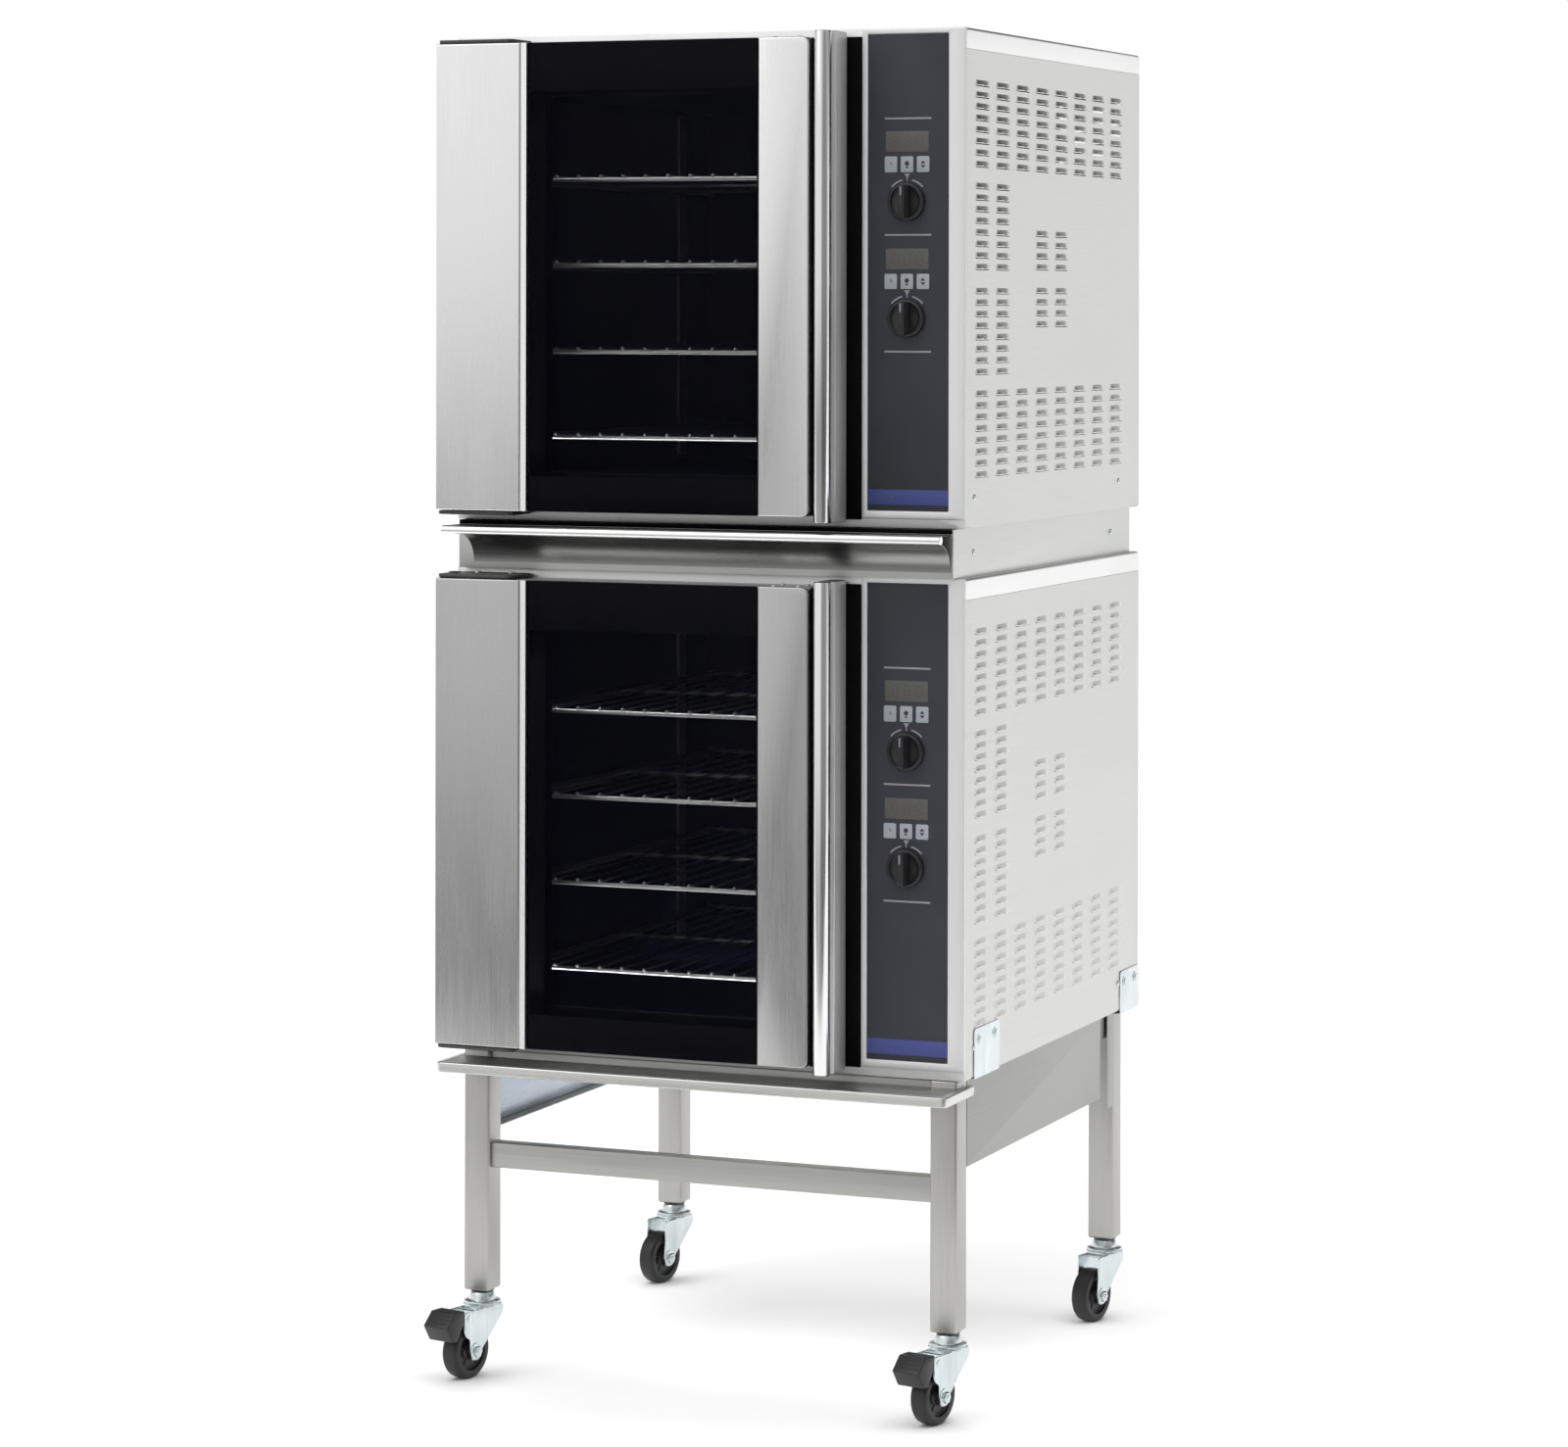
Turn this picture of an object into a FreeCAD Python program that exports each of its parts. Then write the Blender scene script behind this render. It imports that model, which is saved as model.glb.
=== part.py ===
import FreeCAD, Part
import math
import os

# Two stacked convection ovens on a wheeled stand, in millimetres, +Z up, front towards -Y.
# While it is built, X = 0 is the centre plane, Y = 0 the front of the oven bodies, Z = 0 the floor.
# The last step moves the whole model so that the middle of its bounding box stands on the origin.

V = FreeCAD.Vector
X_AXIS = V(1, 0, 0)
Z_AXIS = V(0, 0, 1)

# Driving dimensions of one oven body
body_width = 735.0
body_depth = 740.0
body_height = 655.0
sheet = 1.2
top_flange = 27.6
seam = 0.4

# Heights of the stack
stand_height = 445.0
riser_height = 65.0
oven_bases = {"lower": stand_height, "upper": stand_height + body_height + riser_height}

# Cavity
cavity_x = (-300.0, 165.0)
cavity_y = (2.0, 705.0)
cavity_z = (62.0, 577.0)
chamber_right = 232.0
chamber_front = 42.0
insulation = 40.0

# Door, closed; the handle runs down its free edge
door_left = -body_width / 2
door_y = (-70.0, -6.0)
door_z = (15.0, 643.0)
door_sheet = 1.5
glass_x = (-233.0, 102.0)
stile_right = 180.0
handle_x = (180.0, 205.0)
handle_z = (8.0, 650.0)
handle_nose_y = -74.0
hinge_x = -357.5
hinge_y = -30.0
hinge_pin_r = 4.0
hinge_block = 25.0
running = 0.05

# Control column
column_x = (223.0, body_width / 2)
overlay_x = (231.0, 344.0)
overlay_z = (22.0, 648.0)
knob_x = 286.0
knob_z = {"time": 427.6, "temperature": 275.0}
knob_r = 25.5
knob_shaft_r = 3.0
display_z = {"time": (493.0, 520.0), "temperature": (339.0, 366.0)}
key_z = {"time": (466.0, 487.0), "temperature": (313.0, 333.0)}
key_x = (254.5, 277.0, 299.5)
key_width = 17.5

# Racks
rack_levels = (112.0, 228.0, 345.0, 461.0)
rack_x = (-291.0, 156.0)
rack_y = (24.0, 688.0)
rack_rod_r = 3.0
rack_wire_r = 1.5
rack_wire_pitch = 33.0

# Fan, turning about a line along X
fan_y = 370.0
fan_z = 320.0
fan_x = (182.0, 216.0)
fan_r = 98.0
fan_shaft_r = 6.0

# Louvres on the right-hand panel
louvre_first_y = 63.7
louvre_pitch_y = 80.8
louvre_width = 52.0
louvre_columns = 8
louvre_pitch_z = 15.2
louvre_proud = 3.8
louvre_tall = 8.0

# Stand
leg_size = 38.0
leg_wall = 1.5
leg_outer_x = 357.0
leg_front_y = (0.0, 655.0)
leg_bottom = 115.0
rim_z = (421.0, 435.0)
rim_y = (-68.0, 36.0)
rim_corner_r = 9.0
rim_wall = 2.0
stand_panel_z = 327.0
stand_panel_y = (leg_size, 595.0)
front_rail_z = (283.0, 317.0)
top_rail_z = (407.0, 445.0)
side_rail_x = (328.0, 353.0)

# Casters, in their own frame: x towards the wheel, y along the axle, z up from the floor
wheel_r = 37.5
tyre_width = 25.0
caster_trail = 36.0
caster_turn = -103.0
axle_r = 4.0
stem_r = 6.0
pedal_pivot = (50.0, 84.0)
pedal_pin_r = 3.0

# Cable gland, one for each oven
gland_x = 310.0
gland_z = 60.0
gland_bore_r = 6.0
gland_y = (728.0, 758.0)


def box(x, y, z):
    """A box between two limits on each axis."""
    return Part.makeBox(x[1] - x[0], y[1] - y[0], z[1] - z[0], V(x[0], y[0], z[0]))


def rod(radius, start, end):
    """A round rod between two points."""
    path = V(*end) - V(*start)
    return Part.makeCylinder(radius, path.Length, V(*start), path)


def prism(points, direction):
    """A closed straight-sided outline carried along a direction."""
    corners = [V(*p) for p in points]
    return Part.Face(Part.makePolygon(corners + corners[:1])).extrude(direction)


def joined(shapes):
    """Shapes welded into one solid."""
    return shapes[0].multiFuse(shapes[1:]).removeSplitter()


def window_frame(x, z, hole_x, hole_z, y):
    """Four flat plates round a rectangular hole, lying in the X-Z plane."""
    return [
        box((x[0], hole_x[0]), y, z),
        box((hole_x[1], x[1]), y, z),
        box(hole_x, y, (z[0], hole_z[0])),
        box(hole_x, y, (hole_z[1], z[1])),
    ]


def top_panel():
    """Flat top with flanges turned down on both sides and at the back."""
    half = body_width / 2
    z = (body_height - top_flange, body_height)
    outer = box((-half, half), (1.5, body_depth), z)
    long_edges = [e for e in outer.Edges if abs(e.BoundBox.ZMin - body_height) < 0.01]
    side_edges = [e for e in long_edges if e.BoundBox.YMax > 2.0]
    outer = outer.makeFillet(4.0, side_edges)
    inner = box((-half + sheet, half - sheet), (0.0, body_depth - sheet), (z[0] - 1, z[1] - sheet))
    return outer.cut(inner)


def side_panel(side):
    """A plain side sheet with a return flange at the front and the back."""
    half = body_width / 2
    z = (2.0, body_height - top_flange - seam)
    skin = box((half - sheet, half), (1.5, body_depth), z)
    front = box((half - 14.0, half - sheet), (1.5, 1.5 + sheet), z)
    back = box((half - 14.0, half - sheet), (body_depth - 2 * sheet, body_depth - sheet), z)
    panel = joined([skin, front, back])
    if side < 0:
        panel = panel.mirror(V(0, 0, 0), X_AXIS)
    return panel


def louvre_rows():
    """The column numbers and the top heights of the rows in each group of louvres."""
    every = range(louvre_columns)
    groups = [(588.0, 8, every), (453.0, 8, (0, 1)), (315.0, 8, (0, 1)), (180.0, 8, every)]
    groups += [(393.5, 4, (3, 4)), (316.0, 4, (3, 4))]
    places = []
    for top, rows, columns in groups:
        for row in range(rows):
            for column in columns:
                places.append((louvre_first_y + column * louvre_pitch_y, top - row * louvre_pitch_z))
    return places


def louvre_prism(middle_y, top, width, inset):
    """The wedge of one hood, or of the slot inside it when the inset is its wall."""
    half = body_width / 2
    out = half + louvre_proud - inset
    start = middle_y - width / 2
    outline = [
        (half - sheet - inset, start, top - 1.5 * inset),
        (half - 0.1 * inset, start, top - 1.5 * inset),
        (out, start, top - 0.75 * louvre_tall - 0.3 * inset),
        (out, start, top - louvre_tall - 0.1 * inset),
        (half - sheet - inset, start, top - louvre_tall - 0.1 * inset),
    ]
    return prism(outline, V(0, width, 0))


def louvred_panel():
    """The right-hand sheet with rows of hooded louvres that open downwards."""
    places = louvre_rows()
    hoods = [louvre_prism(y, top, louvre_width, 0.0) for y, top in places]
    slots = [louvre_prism(y, top, louvre_width - 2.0, 1.0) for y, top in places]
    return side_panel(1).multiFuse(hoods).cut(Part.makeCompound(slots))


def rear_panel():
    """The back sheet, with a hole for the cable gland and a row of vent slots."""
    half = body_width / 2 - sheet - 0.2
    y = (body_depth - sheet, body_depth)
    panel = box((-half, half), y, (2.0, body_height - top_flange - seam))
    cuts = [rod(9.0, (gland_x, y[0] - 5, gland_z), (gland_x, y[1] + 5, gland_z))]
    for row in range(10):
        z = 500.0 + row * 9.0
        cuts.append(box((245.0, 345.0), (y[0] - 1, y[1] + 1), (z, z + 4.0)))
    return panel.cut(Part.makeCompound(cuts))


def base_pan():
    """The floor of the casing, with a folded lip all round."""
    half = body_width / 2 - sheet - 0.2
    floor = box((-half, half), (1.7, body_depth - 1.5), (0.0, 1.5))
    lips = [
        box((-half, -half + sheet), (20.0, 700.0), (1.5, 14.0)),
        box((half - sheet, half), (20.0, 700.0), (1.5, 14.0)),
    ]
    return joined([floor] + lips)


def front_fascia():
    """The front sheet round the cavity mouth, and the raised frame of the control column."""
    half = body_width / 2
    plates = window_frame((-half, half), (0.0, body_height), cavity_x, cavity_z, (0.0, 1.5))
    shafts = []
    for z in knob_z.values():
        shafts.append(rod(4.0, (knob_x, -1, z), (knob_x, 3, z)))
    plates[1] = plates[1].cut(Part.makeCompound(shafts))
    frame = box(column_x, (-2.0, 0.0), (12.0, body_height))
    frame = frame.cut(box(overlay_x, (-3.0, 1.0), overlay_z))
    return Part.makeCompound(plates + [frame])


def control_panel():
    """The overlay with its displays, keys and base strip, and the board and encoders behind it."""
    overlay = box(overlay_x, (-1.2, 0.0), overlay_z)
    windows = []
    for name in display_z:
        windows.append(box((key_x[0] + 1.5, 316.0), (-1.0, -0.2), display_z[name]))
        for x in key_x:
            windows.append(box((x, x + key_width), (-1.6, -0.4), key_z[name]))
    windows.append(box(overlay_x, (-1.4, -0.4), (30.0, 50.0)))
    cuts = [piece.copy() for piece in windows]
    for z in knob_z.values():
        cuts.append(rod(4.0, (knob_x, -2, z), (knob_x, 1, z)))
    for name in display_z:
        cuts.append(box((key_x[0] + 1.5, 316.0), (-2.0, -1.0), display_z[name]))
    overlay = overlay.cut(Part.makeCompound(cuts))
    inside = [box((245.0, 330.0), (15.0, 16.6), (220.0, 540.0))]
    for z in knob_z.values():
        encoder = box((knob_x - 7, knob_x + 7), (2.5, 15.0), (z - 7, z + 7))
        inside.append(encoder.cut(rod(knob_shaft_r + running, (knob_x, 0, z), (knob_x, 14.5, z))))
    return Part.makeCompound([overlay] + windows + inside)


def knob(name):
    """A round knob with a raised grip bar and a shaft that runs back into its encoder."""
    z = knob_z[name]
    skirt = rod(knob_r, (knob_x, -10.0, z), (knob_x, -2.2, z))
    crown = rod(knob_r - 3.5, (knob_x, -14.0, z), (knob_x, -10.0, z))
    grip = box((knob_x - 5.5, knob_x + 5.5), (-27.0, -13.0), (z - knob_r + 3.0, z + knob_r - 3.0))
    grip = grip.makeFillet(3.0, grip.Edges)
    shaft = rod(knob_shaft_r, (knob_x, -3.0, z), (knob_x, 12.0, z))
    return joined([skirt, crown, grip, shaft])


def cavity_liner():
    """The cooking chamber and the fan chamber beside it, as separate flat walls."""
    wall = 1.2
    x = (cavity_x[0], chamber_right)
    y = cavity_y
    z = cavity_z
    right = box((x[1], x[1] + wall), (chamber_front, y[1]), z)
    right = right.cut(rod(9.0, (x[1] - 5, fan_y, fan_z), (x[1] + 5, fan_y, fan_z)))
    walls = [
        box((x[0] - wall, x[0]), y, z),
        right,
        box((x[0] - wall, x[1] + wall), y, (z[0] - wall, z[0])),
        box((x[0] - wall, x[1] + wall), y, (z[1], z[1] + wall)),
        box((x[0] - wall, x[1] + wall), (y[1], y[1] + wall), (z[0] - wall, z[1] + wall)),
        box((cavity_x[1], x[1]), (chamber_front - wall, chamber_front), z),
    ]
    return Part.makeCompound(walls)


def fan_baffle():
    """The perforated wall between the racks and the fan, with a grille in front of the fan."""
    plate = box((cavity_x[1] - 1.2, cavity_x[1]), (chamber_front, cavity_y[1]), cavity_z)
    cuts = []
    for offset in range(-5, 6):
        reach = math.sqrt(84.0 ** 2 - (offset * 15.0) ** 2)
        z = fan_z + offset * 15.0
        cuts.append(box((cavity_x[1] - 3, cavity_x[1] + 1), (fan_y - reach, fan_y + reach), (z - 4, z + 4)))
    for y in (120.0, 600.0):
        for row in range(14):
            z = 100.0 + row * 34.0
            cuts.append(box((cavity_x[1] - 3, cavity_x[1] + 1), (y - 9, y + 9), (z - 11, z + 11)))
    return plate.cut(Part.makeCompound(cuts))


def rack_guides():
    """Upright posts on both walls with a rail under each side of every rack."""
    pieces = []
    for wall, inward in ((cavity_x[0], 1), (cavity_x[1] - 1.2, -1)):
        for y in (95.0, 595.0):
            post_x = sorted((wall, wall + inward * 3.0))
            pieces.append(box(post_x, (y, y + 25.0), (70.0, 570.0)))
        for level in rack_levels:
            rail_x = sorted((wall + inward * 3.0, wall + inward * 19.0))
            z = level - rack_rod_r - 0.3
            pieces.append(box(rail_x, (30.0, 692.0), (z - 3.0, z)))
    return Part.makeCompound(pieces)


def rack(level):
    """A welded wire rack: a rim of thick rod with thinner wires lying across it."""
    r = rack_rod_r
    x = (rack_x[0] + r, rack_x[1] - r)
    y = (rack_y[0] + r, rack_y[1] - r)
    rim = [
        rod(r, (x[0], y[0], level), (x[1], y[0], level)),
        rod(r, (x[0], y[1], level), (x[1], y[1], level)),
        rod(r, (x[0], y[0], level), (x[0], y[1], level)),
        rod(r, (x[1], y[0], level), (x[1], y[1], level)),
        rod(r, (x[0], (y[0] + y[1]) / 2, level), (x[1], (y[0] + y[1]) / 2, level)),
    ]
    rim += [Part.makeSphere(r, V(cx, cy, level)) for cx in x for cy in y]
    wires = []
    count = int((x[1] - x[0]) // rack_wire_pitch)
    first = (x[0] + x[1]) / 2 - (count - 1) / 2 * rack_wire_pitch
    top = level + r + rack_wire_r * 0.6
    for number in range(count):
        across = first + number * rack_wire_pitch
        wires.append(rod(rack_wire_r, (across, y[0] - 2.5, top), (across, y[1] + 2.5, top)))
    return rim[0].multiFuse(rim[1:] + wires)


def fan_impeller():
    """A backplate, a ring and radial blades on a hub that fits the motor shaft."""
    back = rod(fan_r, (fan_x[1] - 1.5, fan_y, fan_z), (fan_x[1], fan_y, fan_z))
    hub = rod(16.0, (fan_x[0] + 4, fan_y, fan_z), (fan_x[1], fan_y, fan_z))
    blades = []
    for number in range(12):
        blade = box((fan_x[0], fan_x[1] - 1.0), (fan_y + 45.0, fan_y + fan_r - 2.0), (fan_z - 1.0, fan_z + 1.0))
        blade.rotate(V(0, fan_y, fan_z), X_AXIS, number * 30.0)
        blades.append(blade)
    fan = joined([back, hub] + blades)
    return fan.cut(rod(fan_shaft_r + running, (0, fan_y, fan_z), (300, fan_y, fan_z)))


def fan_motor():
    """The motor outside the fan chamber, its cooling ribs and its shaft."""
    start = chamber_right + 1.2
    flange = box((start, start + 3.0), (fan_y - 60, fan_y + 60), (fan_z - 60, fan_z + 60))
    can = rod(42.0, (start + 3, fan_y, fan_z), (start + 62, fan_y, fan_z))
    ribs = [rod(46.0, (start + at, fan_y, fan_z), (start + at + 3, fan_y, fan_z)) for at in (14, 26, 38, 50)]
    shaft = rod(fan_shaft_r, (fan_x[0] + 2, fan_y, fan_z), (start + 10, fan_y, fan_z))
    return joined([flange, can] + ribs + [shaft])


def heating_elements():
    """Two ring elements round the fan, each with a pair of terminals through the wall."""
    pieces = []
    for x, radius in ((190.0, 118.0), (208.0, 118.0)):
        ring = Part.makeTorus(radius, 4.0, V(x, fan_y, fan_z), X_AXIS)
        z = fan_z + radius
        pins = [rod(3.0, (x, fan_y + side * 8, z), (chamber_right, fan_y + side * 8, z)) for side in (-1, 1)]
        pieces.append(ring.multiFuse(pins) if x > 200 else ring)
    return pieces


def door_seal():
    """A soft ring round the cavity mouth."""
    outer = box((cavity_x[0] - 14, cavity_x[1] + 14), (-5.6, 0.0), (cavity_z[0] - 14, cavity_z[1] + 14))
    inner = box((cavity_x[0] - 2, cavity_x[1] + 2), (-7.0, 1.0), (cavity_z[0] - 2, cavity_z[1] + 2))
    return outer.cut(inner)


def open_pan(x, y, z):
    """A folded sheet pan that is open at the back, and the flat cover that closes it."""
    wall = door_sheet
    inner_x = (x[0] + wall, x[1] - wall)
    inner_z = (z[0] + wall, z[1] - wall)
    pan = box(x, y, z).cut(box(inner_x, (y[0] + wall, y[1] + 1), inner_z))
    cover = box(inner_x, (y[1] - wall, y[1]), inner_z)
    return pan, cover


def square_tube(x, y, z):
    """A rectangular tube along X, open at both ends."""
    wall = door_sheet
    return box(x, y, z).cut(box((x[0] - 1, x[1] + 1), (y[0] + wall, y[1] - wall), (z[0] + wall, z[1] - wall)))


def door_frame():
    """Two folded steel stiles with rails between them, and bored blocks at the left for the hinge pins."""
    left, left_cover = open_pan((door_left, glass_x[0]), door_y, door_z)
    outer_edges = [e for e in left.Edges if e.Length > 627 and e.BoundBox.XMax < door_left + 0.1]
    left = left.makeFillet(1.4, outer_edges)
    right, right_cover = open_pan((glass_x[1], stile_right - 6), door_y, door_z)
    blocks = []
    for z in (door_z[0] + door_sheet, door_z[1] - door_sheet - hinge_block):
        block_y = (hinge_y - 12.0, hinge_y + 12.0)
        blocks.append(box((door_left + door_sheet, hinge_x + 12.0), block_y, (z, z + hinge_block)))
    bores = [rod(hinge_pin_r + running, (hinge_x, hinge_y, z), (hinge_x, hinge_y, z + hinge_block))
             for z in (door_z[0] - 1, door_z[1] + 1 - hinge_block)]
    bored = [piece.cut(Part.makeCompound(bores)) for piece in [left] + blocks]
    groove = box((stile_right - 6, stile_right), (door_y[0] + 14, door_y[1]), door_z)
    rails = [square_tube(glass_x, (-64.0, door_y[1]), z) for z in ((15.0, 50.0), (600.0, 643.0))]
    return Part.makeCompound(bored + [left_cover, right, right_cover, groove] + rails)


def door_glass():
    """The full-height outer pane and the smaller inner pane."""
    outer = box(glass_x, (door_y[0], door_y[0] + 5.0), door_z)
    inner = box((glass_x[0] + 0.5, glass_x[1] - 0.5), (-12.0, -8.0), (50.5, 599.5))
    return Part.makeCompound([outer, inner])


def door_handle():
    """A full-height pull: a round nose on a hollow body whose flat side faces the control column."""
    wall = door_sheet
    nose_r = (handle_x[1] - 2.0 - handle_x[0]) / 2
    height = handle_z[1] - handle_z[0]
    nose = Part.makeCylinder(nose_r, height, V(handle_x[0] + nose_r, handle_nose_y + nose_r, handle_z[0]))
    x = (handle_x[0], handle_x[1] - 0.5)
    y = (handle_nose_y + 2 * nose_r - 3.0, door_y[1])
    inside = box((x[0] + wall, x[1] - wall), (y[0] + 3.0 + wall, y[1] - wall), (handle_z[0] - 1, handle_z[1] + 1))
    body = box(x, y, handle_z).cut(Part.makeCompound([nose, inside]))
    return Part.makeCompound([nose, body])


def hinge_brackets(base):
    """A flat plate above and below the door, each with the pin that the door turns on."""
    pieces = []
    for z, inward in ((door_z[1] + 0.5, -1), (door_z[0] - 6.0, 1)):
        plate = box((door_left, -255.0), (-66.0, 0.0), (z, z + 5.5))
        reach = (z + 2, z - 18) if inward < 0 else (z + 2, z + 24)
        pin = rod(hinge_pin_r, (hinge_x, hinge_y, reach[0]), (hinge_x, hinge_y, reach[1]))
        bracket = joined([plate, pin])
        bracket.translate(V(0, 0, base))
        pieces.append(bracket)
    return pieces


def insulation_jacket():
    """Slabs of insulation against the left, top, bottom and back of the cavity."""
    z = (cavity_z[0] - 1.5, cavity_z[1] + 1.5)
    left = cavity_x[0] - insulation
    return [
        box((left, cavity_x[0] - 1.5), (16.0, 700.0), z),
        box((left, chamber_right), (16.0, 700.0), (z[1] + 0.1, z[1] + insulation)),
        box((left, chamber_right), (16.0, 700.0), (z[0] - insulation, z[0] - 0.1)),
        box((left, chamber_right), (cavity_y[1] + 1.5, 735.0), z),
    ]


def cable_gland():
    """A gland through the back sheet: an outer nut, a neck and an inner nut, bored right through."""
    y = (gland_y[0], body_depth - sheet, body_depth, gland_y[1])
    neck = rod(8.95, (gland_x, y[0], gland_z), (gland_x, y[3], gland_z))
    inner = Part.Face(Part.makePolygon(hexagon(13.0, y[1] - 7.0))).extrude(V(0, 7.0, 0))
    outer = Part.Face(Part.makePolygon(hexagon(14.0, y[2]))).extrude(V(0, 10.0, 0))
    solid = joined([neck, inner, outer])
    return solid.cut(rod(gland_bore_r, (gland_x, y[0] - 1, gland_z), (gland_x, y[3] + 1, gland_z)))


def hexagon(radius, y):
    """The closed outline of a nut in the X-Z plane, centred on the gland."""
    turns = [math.radians(60 * step) for step in range(7)]
    return [V(gland_x + radius * math.cos(a), y, gland_z + radius * math.sin(a)) for a in turns]


def riser():
    """The stacking kit between the ovens: four plain walls, a front shelf with a rounded lip, and a sloping sheet under it."""
    bottom = stand_height + body_height
    top = bottom + riser_height
    wall = 1.5
    half = 357.0
    front = -18.0
    back = 725.0
    lip_r = 6.0
    lip = rod(lip_r, (-half - 3, -70 + lip_r, bottom + 53), (half - 3, -70 + lip_r, bottom + 53))
    shelf = box((-half, half - 3), (-70 + lip_r, front), (bottom + 57.0, bottom + 58.5))
    cove_left = -half + 23.0
    slant = prism([(cove_left, -66.0, bottom + 47.5), (cove_left, -66.0, bottom + 46.0),
                   (cove_left, front, bottom + 11.0), (cove_left, front, bottom + 12.5)], V(half - 3 - cove_left, 0, 0))
    slant = slant.cut(lip)
    face = box((-half, half), (front, front + wall), (bottom, top))
    foot = box((-half, half), (front + wall, 0.0), (bottom, bottom + wall))
    sides = [box((-half, -half + wall), (front + wall, back), (bottom + wall, top)),
             box((half - wall, half), (front + wall, back), (bottom + wall, top))]
    rear = box((-half, half), (back, back + wall), (bottom, top))
    shelf = shelf.cut(lip)
    return Part.makeCompound([lip, shelf, slant, face, foot] + sides + [rear])


def leg(x_side, front_y):
    """A square tube leg with a bored plug in its foot for the caster's stem."""
    outer_x = sorted((x_side * leg_outer_x, x_side * (leg_outer_x - leg_size)))
    y = (front_y, front_y + leg_size)
    tube = box(outer_x, y, (leg_bottom, stand_height))
    bore_x = (outer_x[0] + leg_wall, outer_x[1] - leg_wall)
    bore_y = (y[0] + leg_wall, y[1] - leg_wall)
    tube = tube.cut(box(bore_x, bore_y, (leg_bottom - 1, stand_height - leg_wall)))
    plug = box(bore_x, bore_y, (leg_bottom, leg_bottom + 38.0))
    stem = caster_place(x_side, front_y)
    plug = plug.cut(Part.makeCylinder(stem_r + running, 60.0, V(stem.x, stem.y, leg_bottom - 10)))
    return [tube, plug]


def caster_place(x_side, front_y):
    """The point on the floor under the middle of a leg."""
    return V(x_side * (leg_outer_x - leg_size / 2), front_y + leg_size / 2, 0)


def stand_frame():
    """Four legs, the rails round the top and the low rail across the front."""
    pieces = []
    for x_side in (-1, 1):
        for front_y in leg_front_y:
            pieces += leg(x_side, front_y)
        side_y = (leg_size, leg_front_y[1])
        side_rail = box(sorted(x_side * x for x in side_rail_x), side_y, top_rail_z)
        inner_x = sorted((x_side * (side_rail_x[0] + leg_wall), x_side * (side_rail_x[1] - leg_wall)))
        inner_z = (top_rail_z[0] + leg_wall, top_rail_z[1] - leg_wall)
        pieces.append(side_rail.cut(box(inner_x, (side_y[0] - 1, side_y[1] + 1), inner_z)))
    between = (-leg_outer_x + leg_size, leg_outer_x - leg_size)
    pieces.append(square_tube(between, (6.0, 31.0), front_rail_z))
    pieces.append(square_tube(between, (6.0, 31.0), top_rail_z))
    pieces.append(square_tube(between, (661.0, 686.0), top_rail_z))
    return Part.makeCompound(pieces)


def stand_side_panels():
    """A folded sheet on each side of the stand, with a small gusset at each rear leg."""
    pieces = []
    for x_side in (-1, 1):
        x = sorted((x_side * leg_outer_x, x_side * (leg_outer_x - 1.5)))
        pieces.append(box(x, stand_panel_y, (stand_panel_z, stand_height - 1.0)))
        lip_x = sorted((x_side * (leg_outer_x - 1.5), x_side * (leg_outer_x - 18.0)))
        pieces.append(box(lip_x, stand_panel_y, (stand_panel_z, stand_panel_z + 1.5)))
        pieces.append(box(x, (628.0, leg_front_y[1]), (stand_panel_z - 20.0, stand_height - 1.0)))
    return Part.makeCompound(pieces)


def stand_top_rim():
    """The folded shelf edge that runs under the door and back past both front legs."""
    half = body_width / 2
    outline = box((-half, half), rim_y, rim_z)
    corners = [e for e in outline.Edges if e.BoundBox.ZLength > 10 and e.BoundBox.YMax < rim_y[0] + 1]
    outline = outline.makeFillet(rim_corner_r, corners)
    top_edges = [e for e in outline.Edges if e.BoundBox.ZMin > rim_z[1] - 0.1 and e.BoundBox.YMin < rim_y[1] - 1]
    outline = outline.makeFillet(1.5, top_edges)
    inner_x = half - rim_wall
    hollow = box((-inner_x, inner_x), (rim_y[0] + rim_wall, rim_y[1] + 1), (rim_z[0] - 1, rim_z[1] - rim_wall))
    hollow_edges = [e for e in hollow.Edges if e.BoundBox.ZLength > 10 and e.BoundBox.YMax < rim_y[0] + 20]
    hollow = hollow.makeFillet(rim_corner_r - rim_wall, hollow_edges)
    side = half - leg_outer_x - 0.3
    between = box((-half + side, half - side), (-0.2, rim_y[1] + 1), (rim_z[0] - 1, rim_z[1] + 1))
    return outline.cut(hollow).cut(between)


def fixing_brackets():
    """Folded plates that tie the lower oven to the stand, each held by two screws."""
    pieces = []
    half = body_width / 2
    for y, z in (((33.0, 133.0), (-2.0, 64.0)), ((651.0, 737.0), (-5.0, 56.0))):
        for x_side in (-1, 1):
            low = stand_height + z[0]
            x = sorted((x_side * half, x_side * (half + 1.5)))
            plate = box(x, y, (low, stand_height + z[1]))
            inner = box(sorted((x_side * half, x_side * (leg_outer_x + 0.2))), y, (low, low + 1.5))
            screws = []
            for at in (y[0] + 18, y[1] - 18):
                tip = x_side * (half + 4.0)
                height = stand_height + z[1] - 16
                screws.append(rod(5.5, (x_side * (half + 1.0), at, height), (tip, at, height)))
            pieces.append(joined([plate, inner] + screws))
    return Part.makeCompound(pieces)


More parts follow.
